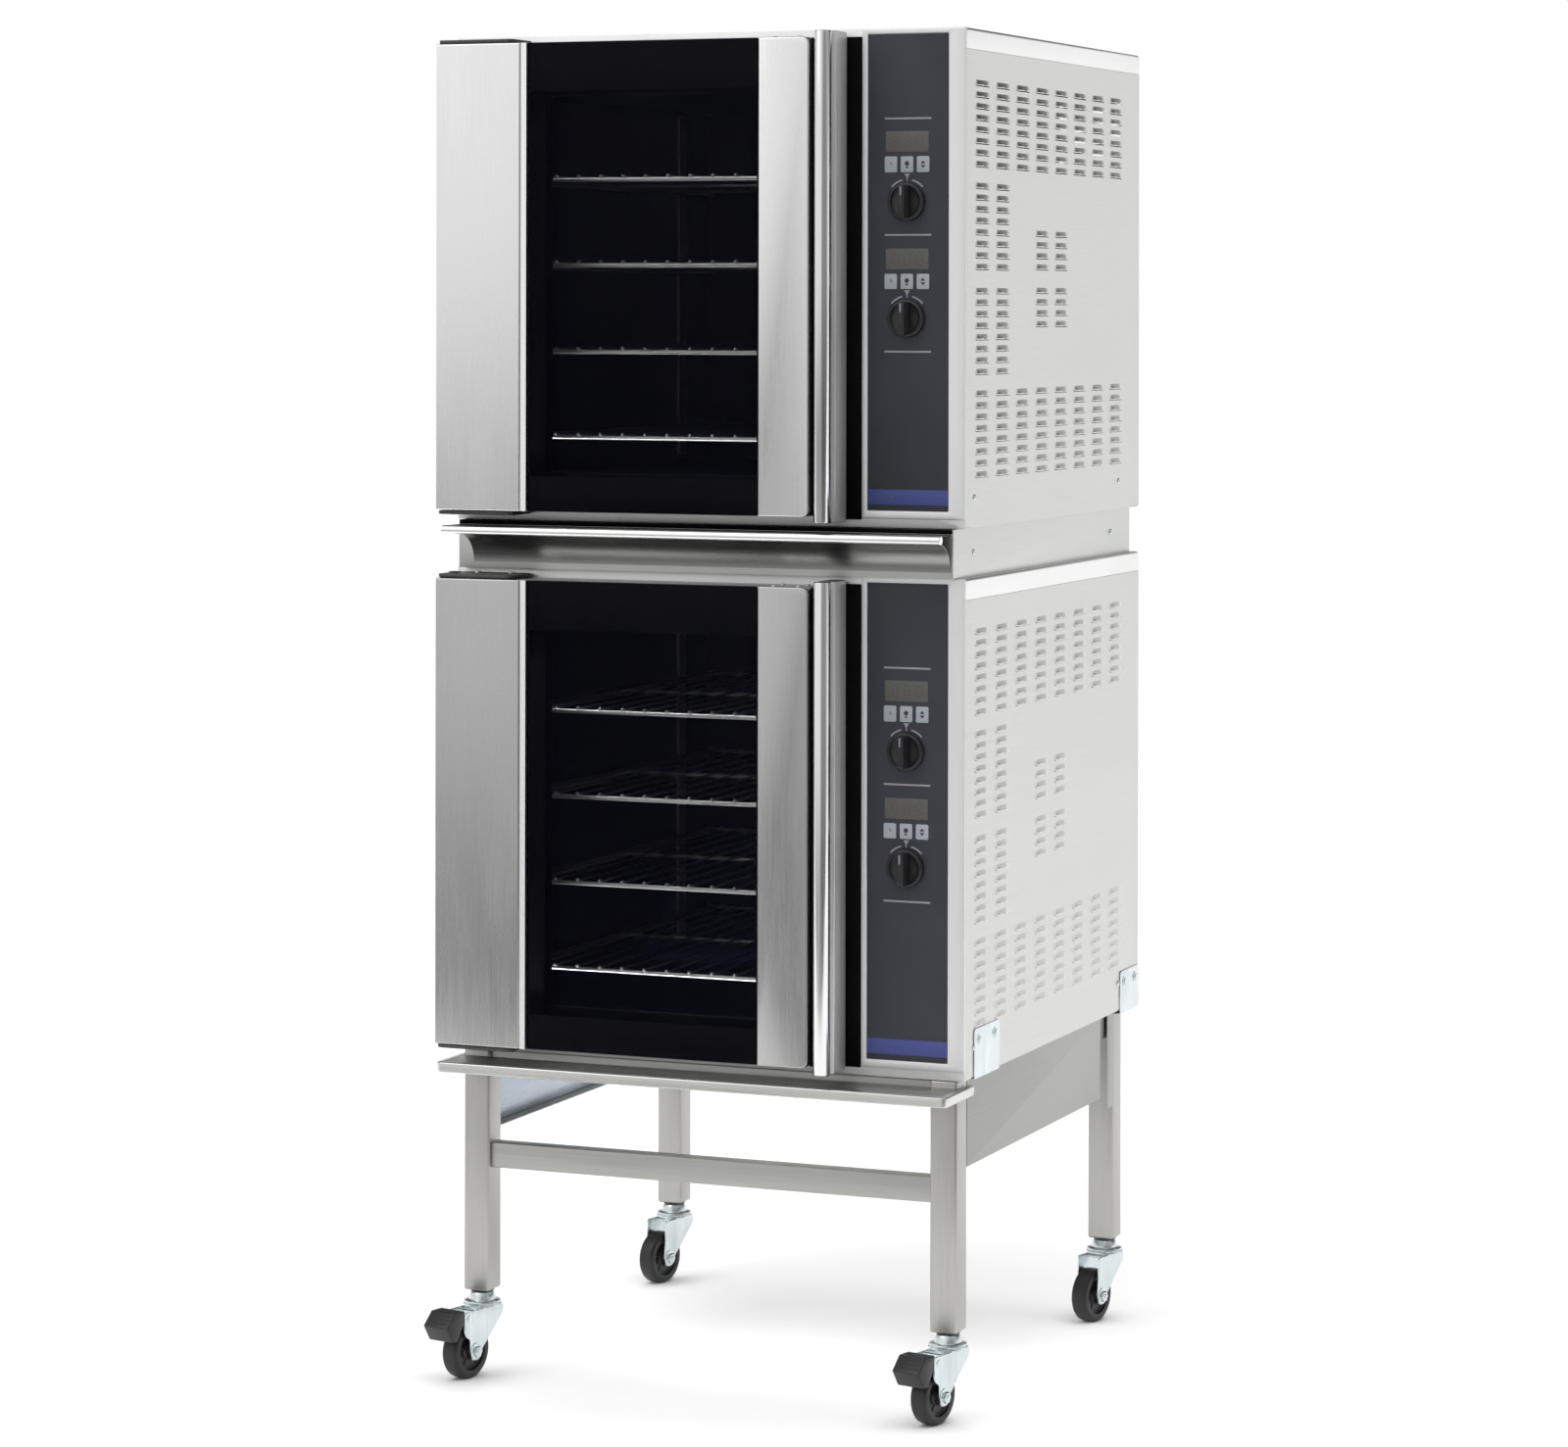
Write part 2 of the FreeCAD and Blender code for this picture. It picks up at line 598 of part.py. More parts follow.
def caster_fork(braked):
    """Swivel head, stem, two cheeks and the axle; a braked one also holds the pedal's pin."""
    ear = 60.0 if braked else 44.0
    outline = [(-24, 93), (ear, 93), (ear, 80), (caster_trail + 12, 36), (caster_trail - 12, 36), (-24, 84)]
    parts = []
    for side in (-1, 1):
        y = side * 17.0 - 1.25
        cheek = prism([(x, y, z) for x, z in outline], V(0, 2.5, 0))
        boss = rod(12.0, (caster_trail, y, wheel_r), (caster_trail, y + 2.5, wheel_r))
        parts += [cheek, boss]
    parts.append(box((-24.0, 32.0), (-18.25, 18.25), (90.0, 93.0)))
    parts.append(Part.makeCylinder(24.0, 9.0, V(0, 0, 92.5)))
    parts.append(Part.makeCylinder(18.0, 10.0, V(0, 0, 101.0)))
    parts.append(Part.makeCylinder(stem_r, 56.0, V(0, 0, 92.5)))
    parts.append(rod(axle_r, (caster_trail, -23.0, wheel_r), (caster_trail, 23.0, wheel_r)))
    parts.append(rod(7.5, (caster_trail, -22.0, wheel_r), (caster_trail, -18.0, wheel_r)))
    parts.append(rod(7.5, (caster_trail, 18.0, wheel_r), (caster_trail, 22.0, wheel_r)))
    if braked:
        x, z = pedal_pivot
        parts.append(rod(pedal_pin_r, (x, -18.25, z), (x, 18.25, z)))
    return joined(parts)


def caster_wheel():
    """A rubber tyre on a dished hub, bored for the axle."""
    half = tyre_width / 2
    tyre = rod(wheel_r, (caster_trail, -half, wheel_r), (caster_trail, half, wheel_r))
    tyre = tyre.makeFillet(6.0, [e for e in tyre.Edges if len(e.Vertexes) == 1])
    dishes = [rod(25.0, (caster_trail, side * half * 2, wheel_r), (caster_trail, side * 7.5, wheel_r))
              for side in (-1, 1)]
    hub = rod(11.0, (caster_trail, -14.0, wheel_r), (caster_trail, 14.0, wheel_r))
    wheel = tyre.cut(Part.makeCompound(dishes)).fuse(hub)
    return wheel.cut(rod(axle_r + running, (caster_trail, -30, wheel_r), (caster_trail, 30, wheel_r)))


def brake_pedal():
    """A rocking pedal over the wheel: a narrow arm between the cheeks and a deep, wide tread."""
    x, z = pedal_pivot
    arm = prism([(42, -14.5, 79.5), (42, -14.5, 88), (64, -14.5, 91), (64, -14.5, 80)], V(0, 29.0, 0))
    tread = prism([(63, -21, 81), (63, -21, 97), (84, -21, 97), (101, -21, 79), (88, -21, 58), (78, -21, 58),
                   (72, -21, 70)], V(0, 42.0, 0))
    pedal = joined([arm, tread])
    return pedal.cut(rod(pedal_pin_r + running, (x, -30, z), (x, 30, z)))


def place_caster(shape, x_side, front_y):
    """Turn a caster's piece to its trailing direction and put it under its leg."""
    placed = shape.copy()
    placed.rotate(V(0, 0, 0), Z_AXIS, caster_turn)
    placed.translate(caster_place(x_side, front_y))
    return placed


def raised(shape, base):
    """A copy of an oven's piece lifted to the base of that oven."""
    copy = shape.copy()
    copy.translate(V(0, 0, base))
    return copy


def oven_pieces():
    """Every piece of one oven, by name, standing on Z = 0."""
    pieces = {
        "top_panel": top_panel(),
        "left_side_panel": side_panel(-1),
        "right_side_panel": louvred_panel(),
        "rear_panel": rear_panel(),
        "base_pan": base_pan(),
        "front_fascia": front_fascia(),
        "control_panel": control_panel(),
        "cavity_liner": cavity_liner(),
        "rack_guides": rack_guides(),
        "door_frame": door_frame(),
        "door_glass": door_glass(),
        "door_handle": door_handle(),
        "time_knob": knob("time"),
        "temperature_knob": knob("temperature"),
        "fan_impeller": fan_impeller(),
    }
    for number, level in enumerate(rack_levels, 1):
        pieces["rack_%d" % number] = rack(level)
    return pieces


def whole_model():
    """All nodes by name, before the model is centred."""
    nodes = {}
    for name, piece in oven_pieces().items():
        for oven, base in oven_bases.items():
            nodes[oven + "_" + name] = raised(piece, base)
    bases = oven_bases.values()
    nodes["fan_baffles"] = Part.makeCompound([raised(fan_baffle(), base) for base in bases])
    nodes["door_seals"] = Part.makeCompound([raised(door_seal(), base) for base in bases])
    nodes["fan_motors"] = Part.makeCompound([raised(fan_motor(), base) for base in bases])
    nodes["cable_glands"] = Part.makeCompound([raised(cable_gland(), base) for base in bases])
    rings = [raised(piece, base) for base in bases for piece in heating_elements()]
    nodes["heating_elements"] = Part.makeCompound(rings)
    slabs = [raised(piece, base) for base in bases for piece in insulation_jacket()]
    nodes["insulation_jackets"] = Part.makeCompound(slabs)
    brackets = [piece for base in bases for piece in hinge_brackets(base)]
    nodes["hinge_brackets"] = Part.makeCompound(brackets)
    nodes["riser"] = riser()
    nodes["stand_frame"] = stand_frame()
    nodes["stand_side_panels"] = stand_side_panels()
    nodes["stand_top_rim"] = stand_top_rim()
    nodes["fixing_brackets"] = fixing_brackets()
    for row, front_y in zip(("front", "rear"), leg_front_y):
        for side, x_side in (("left", -1), ("right", 1)):
            braked = row == "front"
            corner = "%s_%s" % (row, side)
            nodes[corner + "_caster_fork"] = place_caster(caster_fork(braked), x_side, front_y)
            nodes[corner + "_caster_wheel"] = place_caster(caster_wheel(), x_side, front_y)
            if braked:
                nodes[corner + "_brake_pedal"] = place_caster(brake_pedal(), x_side, front_y)
    return nodes


nodes = whole_model()
extent = Part.makeCompound(list(nodes.values())).optimalBoundingBox(False, False)
centring = V(-(extent.XMin + extent.XMax) / 2, -(extent.YMin + extent.YMax) / 2, 0)
os.makedirs("parts", exist_ok=True)
for name, shape in nodes.items():
    shape.translate(centring)
    shape.exportStep("parts/%s.step" % name)
print(len(nodes), "nodes; centred by", round(centring.x, 3), round(centring.y, 3))
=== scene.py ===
import math
import bmesh
import bpy
import numpy as np
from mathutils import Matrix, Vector


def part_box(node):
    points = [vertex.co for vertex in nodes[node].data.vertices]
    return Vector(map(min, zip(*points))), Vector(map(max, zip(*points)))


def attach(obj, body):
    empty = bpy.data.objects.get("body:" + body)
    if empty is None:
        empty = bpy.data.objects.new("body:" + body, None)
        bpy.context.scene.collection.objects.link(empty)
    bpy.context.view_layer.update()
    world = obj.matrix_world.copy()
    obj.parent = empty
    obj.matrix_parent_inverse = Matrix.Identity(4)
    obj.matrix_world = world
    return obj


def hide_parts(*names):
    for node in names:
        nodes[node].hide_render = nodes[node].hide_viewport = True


# Two stacked convection ovens on a wheeled stand: finishes, and the detailed outside pieces.
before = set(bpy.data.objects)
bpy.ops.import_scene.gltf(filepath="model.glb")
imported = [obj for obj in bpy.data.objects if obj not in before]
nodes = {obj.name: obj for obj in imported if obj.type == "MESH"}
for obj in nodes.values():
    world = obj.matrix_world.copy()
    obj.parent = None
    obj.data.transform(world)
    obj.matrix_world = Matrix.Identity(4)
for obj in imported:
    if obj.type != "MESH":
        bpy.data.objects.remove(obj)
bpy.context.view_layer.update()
mm = 0.001

fasciaLow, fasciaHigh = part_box("lower_front_fascia")
middleX = (fasciaLow.x + fasciaHigh.x) / 2
frontY = fasciaHigh.y - 1.5 * mm
ovenBase = {name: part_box(name + "_base_pan")[0].z for name in ("lower", "upper")}
stack = "oven_stack"
print("frame loaded,", len(nodes), "nodes")


# Shapes: each returns (points in millimetres, list of face arrays).

def gridFaces(rows, columns, wrapRows=False, wrapColumns=False):
    # quad (i, j) joins point (i, j) to its neighbours one row and one column on
    i = np.arange(rows if wrapRows else rows - 1)[:, None]
    j = np.arange(columns if wrapColumns else columns - 1)[None, :]
    nextI, nextJ = (i + 1) % rows, (j + 1) % columns
    corners = [i * columns + j, i * columns + nextJ, nextI * columns + nextJ, nextI * columns + j]
    return np.stack([np.broadcast_to(c, (i.size, j.size)) for c in corners], axis=-1).reshape(-1, 4)


def lofted(rings, loop=False):
    # point (i, j) = outline i, corner j; the first and last outlines are closed unless the stack joins up
    rings = np.asarray(rings, float)
    count, size = rings.shape[:2]
    faces = [gridFaces(count, size, wrapRows=loop, wrapColumns=True)]
    if not loop:
        ring = np.arange(size)[None, :]
        faces += [ring[:, ::-1], ring + (count - 1) * size]
    return rings.reshape(-1, 3), faces


def roundedBox(low, high, radius, steps=2):
    # point = corner of the inner box + radius * unit sphere direction (turn, lift)
    low, high = np.asarray(low, float), np.asarray(high, float)
    radius = min(radius, (high - low).min() / 2 * 0.98)
    inner = (high - low) / 2 - radius
    quarter = np.linspace(0, math.pi / 2, steps + 1)
    turn = (quarter[None, :] + np.arange(4)[:, None] * math.pi / 2).ravel()
    signX = np.repeat([1, -1, -1, 1], steps + 1)
    signY = np.repeat([1, 1, -1, -1], steps + 1)
    lift = np.concatenate([quarter - math.pi / 2, quarter])
    signZ = np.repeat([-1, 1], steps + 1)
    x = signX * inner[0] + radius * np.cos(lift)[:, None] * np.cos(turn)
    y = signY * inner[1] + radius * np.cos(lift)[:, None] * np.sin(turn)
    z = np.repeat((signZ * inner[2] + radius * np.sin(lift))[:, None], turn.size, axis=1)
    return lofted(np.stack([x, y, z], axis=-1) + (low + high) / 2)


def carried(profile, path, across):
    # point (i, j) = path point i + profile x * across direction i + profile y straight up
    profile, path, across = (np.asarray(a, float) for a in (profile, path, across))
    rise = profile[None, :, 1:] * np.array([0, 0, 1])
    points = path[:, None, :] + profile[None, :, :1] * across[:, None, :] + rise
    return points.reshape(-1, 3), [gridFaces(path.shape[0], profile.shape[0])]


def turned(outline, centre, axis, steps=48):
    # point (i, j) = centre + along_i * axis + radius_i * (cos turn_j, sin turn_j) across the axis
    outline, centre, axis = (np.asarray(a, float) for a in (outline, centre, axis))
    axis = axis / np.linalg.norm(axis)
    helper = np.array([0, 0, 1]) if abs(axis[2]) < 0.9 else np.array([1, 0, 0])
    side = np.cross(axis, helper)
    side = side / np.linalg.norm(side)
    turn = np.linspace(0, 2 * math.pi, steps, endpoint=False)
    spoke = np.cos(turn)[:, None] * side + np.sin(turn)[:, None] * np.cross(axis, side)
    return lofted(centre + outline[:, None, :1] * axis + outline[:, None, 1:] * spoke[None, :, :])


def arc(centre, radius, start, end, steps=6):
    # points on a circle from one angle to another, in degrees
    turn = np.radians(np.linspace(start, end, steps + 1))
    return np.stack([centre[0] + radius * np.cos(turn), centre[1] + radius * np.sin(turn)], axis=-1)


def roundedOutline(x, y, radius, steps=4):
    # a rectangle whose four corners are quarter circles
    corners = [(x[1], y[0], 1, -1, -90), (x[1], y[1], 1, 1, 0), (x[0], y[1], -1, 1, 90), (x[0], y[0], -1, -1, 180)]
    return np.concatenate([arc((cx - sx * radius, cy - sy * radius), radius, a, a + 90, steps)
                           for cx, cy, sx, sy, a in corners])


def roundedPolygon(points, radius, steps=4):
    # each corner is replaced by a quadratic curve between points set back along its two sides
    points = np.asarray(points, float)
    before, after = np.roll(points, 1, axis=0) - points, np.roll(points, -1, axis=0) - points
    lengths = [np.linalg.norm(a, axis=1, keepdims=True) for a in (before, after)]
    starts, ends = (points + a / n * np.minimum(radius, n * 0.45) for a, n in zip((before, after), lengths))
    t = np.linspace(0, 1, steps + 1)[None, :, None]
    return ((1 - t) ** 2 * starts[:, None] + 2 * t * (1 - t) * points[:, None] + t ** 2 * ends[:, None]).reshape(-1, 2)


def screwHead(centre, axis, radius=4.5, height=2.2):
    # a domed head: quarter ellipse from the rim to the crown, with a shallow drive recess
    lift = np.linspace(0, math.pi / 2, 6)
    dome = np.stack([height * (0.35 + 0.65 * np.sin(lift)), radius * (0.3 + 0.7 * np.cos(lift))], axis=-1)
    outline = np.concatenate([[[-0.5, radius]], dome, [[height * 0.35, radius * 0.26]]])
    return turned(outline, centre, axis, steps=20)


def sharpenBoundary(mesh):
    # an edge used by one face only keeps a hard corner when the sheet is thickened
    edgeOfLoop = np.empty(len(mesh.loops), dtype=np.int32)
    mesh.loops.foreach_get("edge_index", edgeOfLoop)
    hard = np.empty(len(mesh.edges), dtype=bool)
    mesh.edges.foreach_get("use_edge_sharp", hard)
    hard |= np.bincount(edgeOfLoop, minlength=hard.size) == 1
    mesh.edges.foreach_set("use_edge_sharp", hard)


def addObject(name, data):
    thing = bpy.data.objects.new(name, data)
    bpy.context.scene.collection.objects.link(thing)
    return thing


def addPiece(name, shapes, base, body, finish, slotName, stoodFor=(), sharp=35, closed=True):
    # welds the shapes of one piece into a mesh that sits in the frame's own coordinates
    points, faces, start = [], [], 0
    for corners, blocks in shapes:
        points.append(corners)
        faces += [face for block in blocks for face in (block + start).tolist()]
        start += corners.shape[0]
    place = np.concatenate(points) * mm + np.array([middleX, frontY, base])
    mesh = bpy.data.meshes.new(name)
    mesh.from_pydata(place.tolist(), [], faces)
    work = bmesh.new()
    work.from_mesh(mesh)
    bmesh.ops.remove_doubles(work, verts=work.verts, dist=2e-6)
    bmesh.ops.dissolve_degenerate(work, edges=work.edges, dist=1e-6)
    if closed:
        bmesh.ops.recalc_face_normals(work, faces=work.faces)
    work.to_mesh(mesh)
    work.free()
    mesh.shade_smooth()
    mesh.set_sharp_from_angle(angle=math.radians(sharp))
    if not closed:
        sharpenBoundary(mesh)
    mesh.materials.append(finishes[finish])
    piece = addObject(name, mesh)
    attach(piece, body)
    if stoodFor:
        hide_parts(*stoodFor)
    return piece


def thicken(piece, thickness, offset):
    wall = piece.modifiers.new("wall", "SOLIDIFY")
    wall.thickness, wall.offset = thickness * mm, offset


# Finishes.

def newFinish(name):
    material = bpy.data.materials.new(name)
    material.use_nodes = True
    tree = material.node_tree
    shader = next(n for n in tree.nodes if n.type == "BSDF_PRINCIPLED")
    return material, tree, shader


def fillSockets(tree, node, sockets):
    # a socket takes either a constant or another node's output
    for name, value in sockets.items():
        if isinstance(value, bpy.types.NodeSocket):
            tree.links.new(value, node.inputs[name])
        else:
            node.inputs[name].default_value = value


def addNode(tree, kind, result, sockets, **settings):
    node = tree.nodes.new(kind)
    for name, value in settings.items():
        setattr(node, name, value)
    fillSockets(tree, node, sockets)
    return node.outputs[result]


def combine(tree, operation, first, second):
    return addNode(tree, "ShaderNodeMath", "Value", {0: first, 1: second}, operation=operation)


def patternNoise(tree, scale, detail=2, roughness=0.5, stretch=(1, 1, 1)):
    # noise on object coordinates, stretched along one axis for a grain
    place = addNode(tree, "ShaderNodeTexCoord", "Object", {})
    place = addNode(tree, "ShaderNodeMapping", "Vector", {"Vector": place, "Scale": stretch})
    return addNode(tree, "ShaderNodeTexNoise", "Fac",
                   {"Vector": place, "Scale": scale, "Detail": detail, "Roughness": roughness})


def spread(tree, value, low, high, fromLow=0.3, fromHigh=0.7):
    # maps the useful middle of a noise to a range of values
    return addNode(tree, "ShaderNodeMapRange", "Result",
                   {"Value": value, "From Min": fromLow, "From Max": fromHigh, "To Min": low, "To Max": high})


def blendColours(tree, factor, first, second):
    return addNode(tree, "ShaderNodeMix", "Result", {"Factor": factor, "A": (*first, 1), "B": (*second, 1)},
                   data_type="RGBA")


def fineBump(tree, height, strength):
    return addNode(tree, "ShaderNodeBump", "Normal", {"Height": height, "Strength": strength, "Distance": 0.0002})


def brushedSteel(name, metallic, grain, lines, patches, dark, light, rough, bump):
    # fine grain lines along one axis, broad soft patches, and roughness that follows both
    material, tree, shader = newFinish(name)
    along = {"x": (0.012, 1, 1), "y": (1, 0.012, 1), "z": (1, 1, 0.012)}[grain]
    fine = patternNoise(tree, lines, 3, 0.6, along)
    soft = patternNoise(tree, patches, 2, 0.5, tuple(max(a, 0.25) for a in along))
    both = combine(tree, "ADD", fine, soft)
    fillSockets(tree, shader, {"Metallic": metallic, "Normal": fineBump(tree, fine, bump),
                               "Base Color": blendColours(tree, spread(tree, both, 0, 1, 0.7, 1.3), dark, light),
                               "Roughness": spread(tree, both, rough - 0.06, rough + 0.06, 0.7, 1.3)})
    return material


def speckledFinish(name, grain, dark, light, rough, bump=0.15, specular=0.5, metallic=0):
    # moulded or coated surface: slight colour drift and a fine grain in the roughness and bump
    material, tree, shader = newFinish(name)
    fine = patternNoise(tree, grain, 3, 0.6)
    both = combine(tree, "ADD", fine, patternNoise(tree, 9))
    fillSockets(tree, shader, {"Metallic": metallic, "Specular IOR Level": specular,
                               "Base Color": blendColours(tree, spread(tree, both, 0, 1, 0.7, 1.3), dark, light),
                               "Roughness": spread(tree, fine, rough - 0.07, rough + 0.07),
                               "Normal": fineBump(tree, fine, bump)})
    return material


def darkGlass(name, dark, light, rough, alpha):
    # tinted pane: mostly black, partly see-through, with a faint smear in its gloss
    material, tree, shader = newFinish(name)
    smear = patternNoise(tree, 6, 3, 0.6, (1, 1, 0.4))
    fillSockets(tree, shader, {"Base Color": blendColours(tree, spread(tree, smear, 0, 1), dark, light),
                               "Roughness": spread(tree, smear, rough, rough + 0.03),
                               "Alpha": alpha, "Specular IOR Level": 0.12, "IOR": 1.5})
    return material


grey = lambda level, blue=0: (level, level, level * (1 + blue))
# material name, metallic, grain axis, grain lines, patches, dark, light, roughness, bump
steelRows = {
    "case": ("caseSteel", 1, "y", 900, 7, (0.59, 0.595, 0.58), (0.68, 0.685, 0.67), 0.38, 0.05),
    "top": ("topSteel", 1, "x", 900, 7, grey(0.84), grey(0.92), 0.34, 0.05),
    "face": ("faceSteel", 0.65, "z", 900, 7, grey(0.8), grey(0.88), 0.36, 0.05),
    "hood": ("hoodSteel", 1, "y", 900, 7, (0.59, 0.595, 0.58), (0.68, 0.685, 0.67), 0.2, 0.03),
    # a darker, less metallic copy of the pull's steel for the pull's body: painted shade
    "shadedPullBody": ("pullBodyShadeSteel", 0.45, "z", 600, 12, grey(0.56), grey(0.68), 0.36, 0.03),
    "sheet": ("sheetSteel", 1, "y", 700, 10, (0.29, 0.295, 0.283), (0.36, 0.365, 0.353), 0.34, 0.05),
    "door": ("doorSteel", 1, "z", 700, 16, grey(0.8), grey(0.86), 0.27, 0.03),
    "handle": ("handleSteel", 1, "z", 600, 12, grey(0.74), grey(0.84), 0.2, 0.03),
    "stand": ("standSteel", 1, "z", 700, 10, (0.4, 0.395, 0.375), (0.49, 0.485, 0.465), 0.35, 0.05),
    "rail": ("railSteel", 1, "x", 700, 10, (0.36, 0.357, 0.345), (0.45, 0.447, 0.435), 0.38, 0.05),
    # a darker copy of the steel for the riser's cove: painted shade under the shelf
    "cove": ("shadedCoveSteel", 1, "x", 700, 10, (0.3, 0.298, 0.295), (0.35, 0.347, 0.342), 0.3, 0.03),
    # near-black steel for the riser's shelf: painted shade under the shelf
    "shelfShade": ("paintedShelfShadowSteel", 1, "x", 700, 10, grey(0.05), grey(0.08), 0.5, 0.03),
    "blueFilm": ("filmedSteel", 0.8, "y", 500, 8, (0.42, 0.47, 0.54), (0.5, 0.55, 0.62), 0.3, 0.04),
    "edge": ("edgeSteel", 1, "x", 500, 8, grey(0.92), grey(0.98), 0.3, 0.02),
    "hinge": ("hingeSteel", 1, "x", 500, 20, grey(0.06), grey(0.11), 0.4, 0.05),
    # the rack guides' steel, lighter than the rack wire: partly their own steel, partly painted highlight
    "guide": ("guideHighlightSteel", 1, "z", 600, 14, grey(0.52), grey(0.64), 0.34, 0.05),
    "wire": ("rackWire", 1, "y", 900, 30, grey(0.3), grey(0.42), 0.34, 0.02),
    # a lighter copy of the rack wire for the racks' front rods: painted light
    "frontRod": ("frontRodSteel", 1, "x", 900, 30, grey(0.58), grey(0.68), 0.3, 0.02),
    "zinc": ("casterZinc", 1, "z", 260, 45, (0.6, 0.66, 0.68), (0.76, 0.82, 0.84), 0.24, 0.04),
    # a darker copy of the door steel for the lower door: painted shade
    "doorShaded": ("shadedLowerDoorSteel", 1, "z", 700, 16, grey(0.45), grey(0.51), 0.27, 0.03),
    "rim": ("rimSteel", 1, "x", 600, 8, (0.6, 0.595, 0.57), (0.72, 0.715, 0.69), 0.28, 0.04),
}
# material name, grain, dark, light, roughness, then bump, specular and metallic where they differ from the usual
speckledRows = {
    "enamel": ("cavityEnamel", 420, (0.0016, 0.0018, 0.006), (0.0035, 0.004, 0.013), 0.34, 0.1, 0.1),
    "film": ("panelFilm", 900, (0.04, 0.042, 0.053), (0.053, 0.055, 0.068), 0.42, 0.05, 0.25),
    "display": ("displayWindow", 700, (0.09, 0.088, 0.084), (0.115, 0.112, 0.105), 0.3, 0.03),
    "key": ("keyPrint", 500, (0.34, 0.37, 0.42), (0.44, 0.47, 0.52), 0.4, 0.04),
    "mark": ("markPrint", 500, (0.28, 0.27, 0.3), (0.36, 0.35, 0.38), 0.45, 0.03),
    "strip": ("footStrip", 400, (0.045, 0.06, 0.24), (0.07, 0.09, 0.32), 0.38, 0.03),
    "knob": ("knobPlastic", 650, (0.01, 0.01, 0.012), (0.02, 0.02, 0.022), 0.32, 0.1),
    "pedal": ("pedalPlastic", 380, (0.006, 0.006, 0.007), (0.014, 0.014, 0.016), 0.36, 0.2),
    "rubber": ("tyreRubber", 300, (0.004, 0.004, 0.0042), (0.01, 0.01, 0.01), 0.4, 0.2),
    "seal": ("sealRubber", 260, (0.008, 0.008, 0.008), (0.014, 0.014, 0.013), 0.6, 0.2, 0.1),
    "digit": ("unlitDigits", 700, (0.066, 0.064, 0.061), (0.08, 0.078, 0.073), 0.35, 0.02),
    "hub": ("wheelHub", 500, (0.008, 0.008, 0.009), (0.016, 0.016, 0.017), 0.34, 0.1),
    "lampGlass": ("lampGlass", 300, (0.3, 0.31, 0.3), (0.42, 0.43, 0.42), 0.12, 0.05),
    "shadow": ("darkRecess", 300, grey(0.003), grey(0.006), 0.6, 0.15, 0.04),
    "motor": ("motorEnamel", 300, grey(0.06, 0.1), grey(0.09, 0.1), 0.4),
    "element": ("elementSheath", 240, (0.1, 0.09, 0.08), (0.17, 0.15, 0.13), 0.5, 0.15, 0.5, 0.8),
    "wool": ("mineralWool", 160, (0.42, 0.36, 0.22), (0.62, 0.55, 0.38), 0.9, 0.9),
    "glassBand": ("glassBand", 500, (0.0015, 0.0015, 0.002), (0.003, 0.003, 0.004), 0.25, 0, 0.06),
}
finishes = {key: brushedSteel(*row) for key, row in steelRows.items()}
finishes.update({key: speckledFinish(*row) for key, row in speckledRows.items()})
# material name, dark, light, roughness, alpha
finishes["glass"] = darkGlass("doorGlass", (0.001, 0.001, 0.004), (0.002, 0.002, 0.007), 0.03, 0.14)
print(len(finishes), "finishes made")


def finishNode(node, key):
    mesh = nodes[node].data
    mesh.materials.clear()
    mesh.materials.append(finishes[key])


nodeFinishes = {
    "case": ("left_side_panel", "right_side_panel", "rear_panel", "base_pan", "front_fascia"), "top": ("top_panel",),
    "film": ("control_panel",), "enamel": ("cavity_liner",), "guide": ("rack_guides", "fan_impeller"),
    "door": ("door_frame",), "glass": ("door_glass",), "handle": ("door_handle",),
    "knob": ("time_knob", "temperature_knob"), "wire": ("rack_1", "rack_2", "rack_3", "rack_4"),
}
for oven in ovenBase:
    for key, parts in nodeFinishes.items():
        for part in parts:
            finishNode(oven + "_" + part, key)
sharedFinishes = {
    "fan_baffles": "enamel", "door_seals": "seal", "fan_motors": "motor", "cable_glands": "knob",
    "heating_elements": "element", "insulation_jackets": "wool", "hinge_brackets": "hinge", "riser": "rail",
    "stand_frame": "stand", "stand_side_panels": "stand", "stand_top_rim": "edge", "fixing_brackets": "case",
}
for node, key in sharedFinishes.items():
    finishNode(node, key)
for corner in ("front_left", "front_right", "rear_left", "rear_right"):
    finishNode(corner + "_caster_fork", "zinc")
    finishNode(corner + "_caster_wheel", "rubber")
for corner in ("front_left", "front_right"):
    finishNode(corner + "_brake_pedal", "pedal")
print("finishes given to the frame's nodes")


# One oven's casing.

casingValues = {"halfWidth": 367.5, "depth": 740, "height": 655, "flange": 27.6, "fold": 14,
                "mouth": ((-300, 165), (62, 577)), "column": ((231, 344), (22, 648))}
louvreValues = {"firstY": 63.7, "pitchY": 80.8, "pitchZ": 15.2, "width": 52, "tall": 8.4, "lip": 7.4, "proud": 3.6,
                "groups": [(588, 8, range(8)), (453, 8, (0, 1)), (315, 8, (0, 1)), (180, 8, range(8)),
                           (393.5, 4, (3, 4)), (316, 4, (3, 4))]}


def louvrePlaces():
    # middle Y and top Z of every louvre, one row of the array each
    v = louvreValues
    blocks = [np.stack(np.meshgrid(v["firstY"] + np.array(columns) * v["pitchY"], top - np.arange(rows) * v["pitchZ"]),
                       axis=-1).reshape(-1, 2) for top, rows, columns in v["groups"]]
    return np.concatenate(blocks)


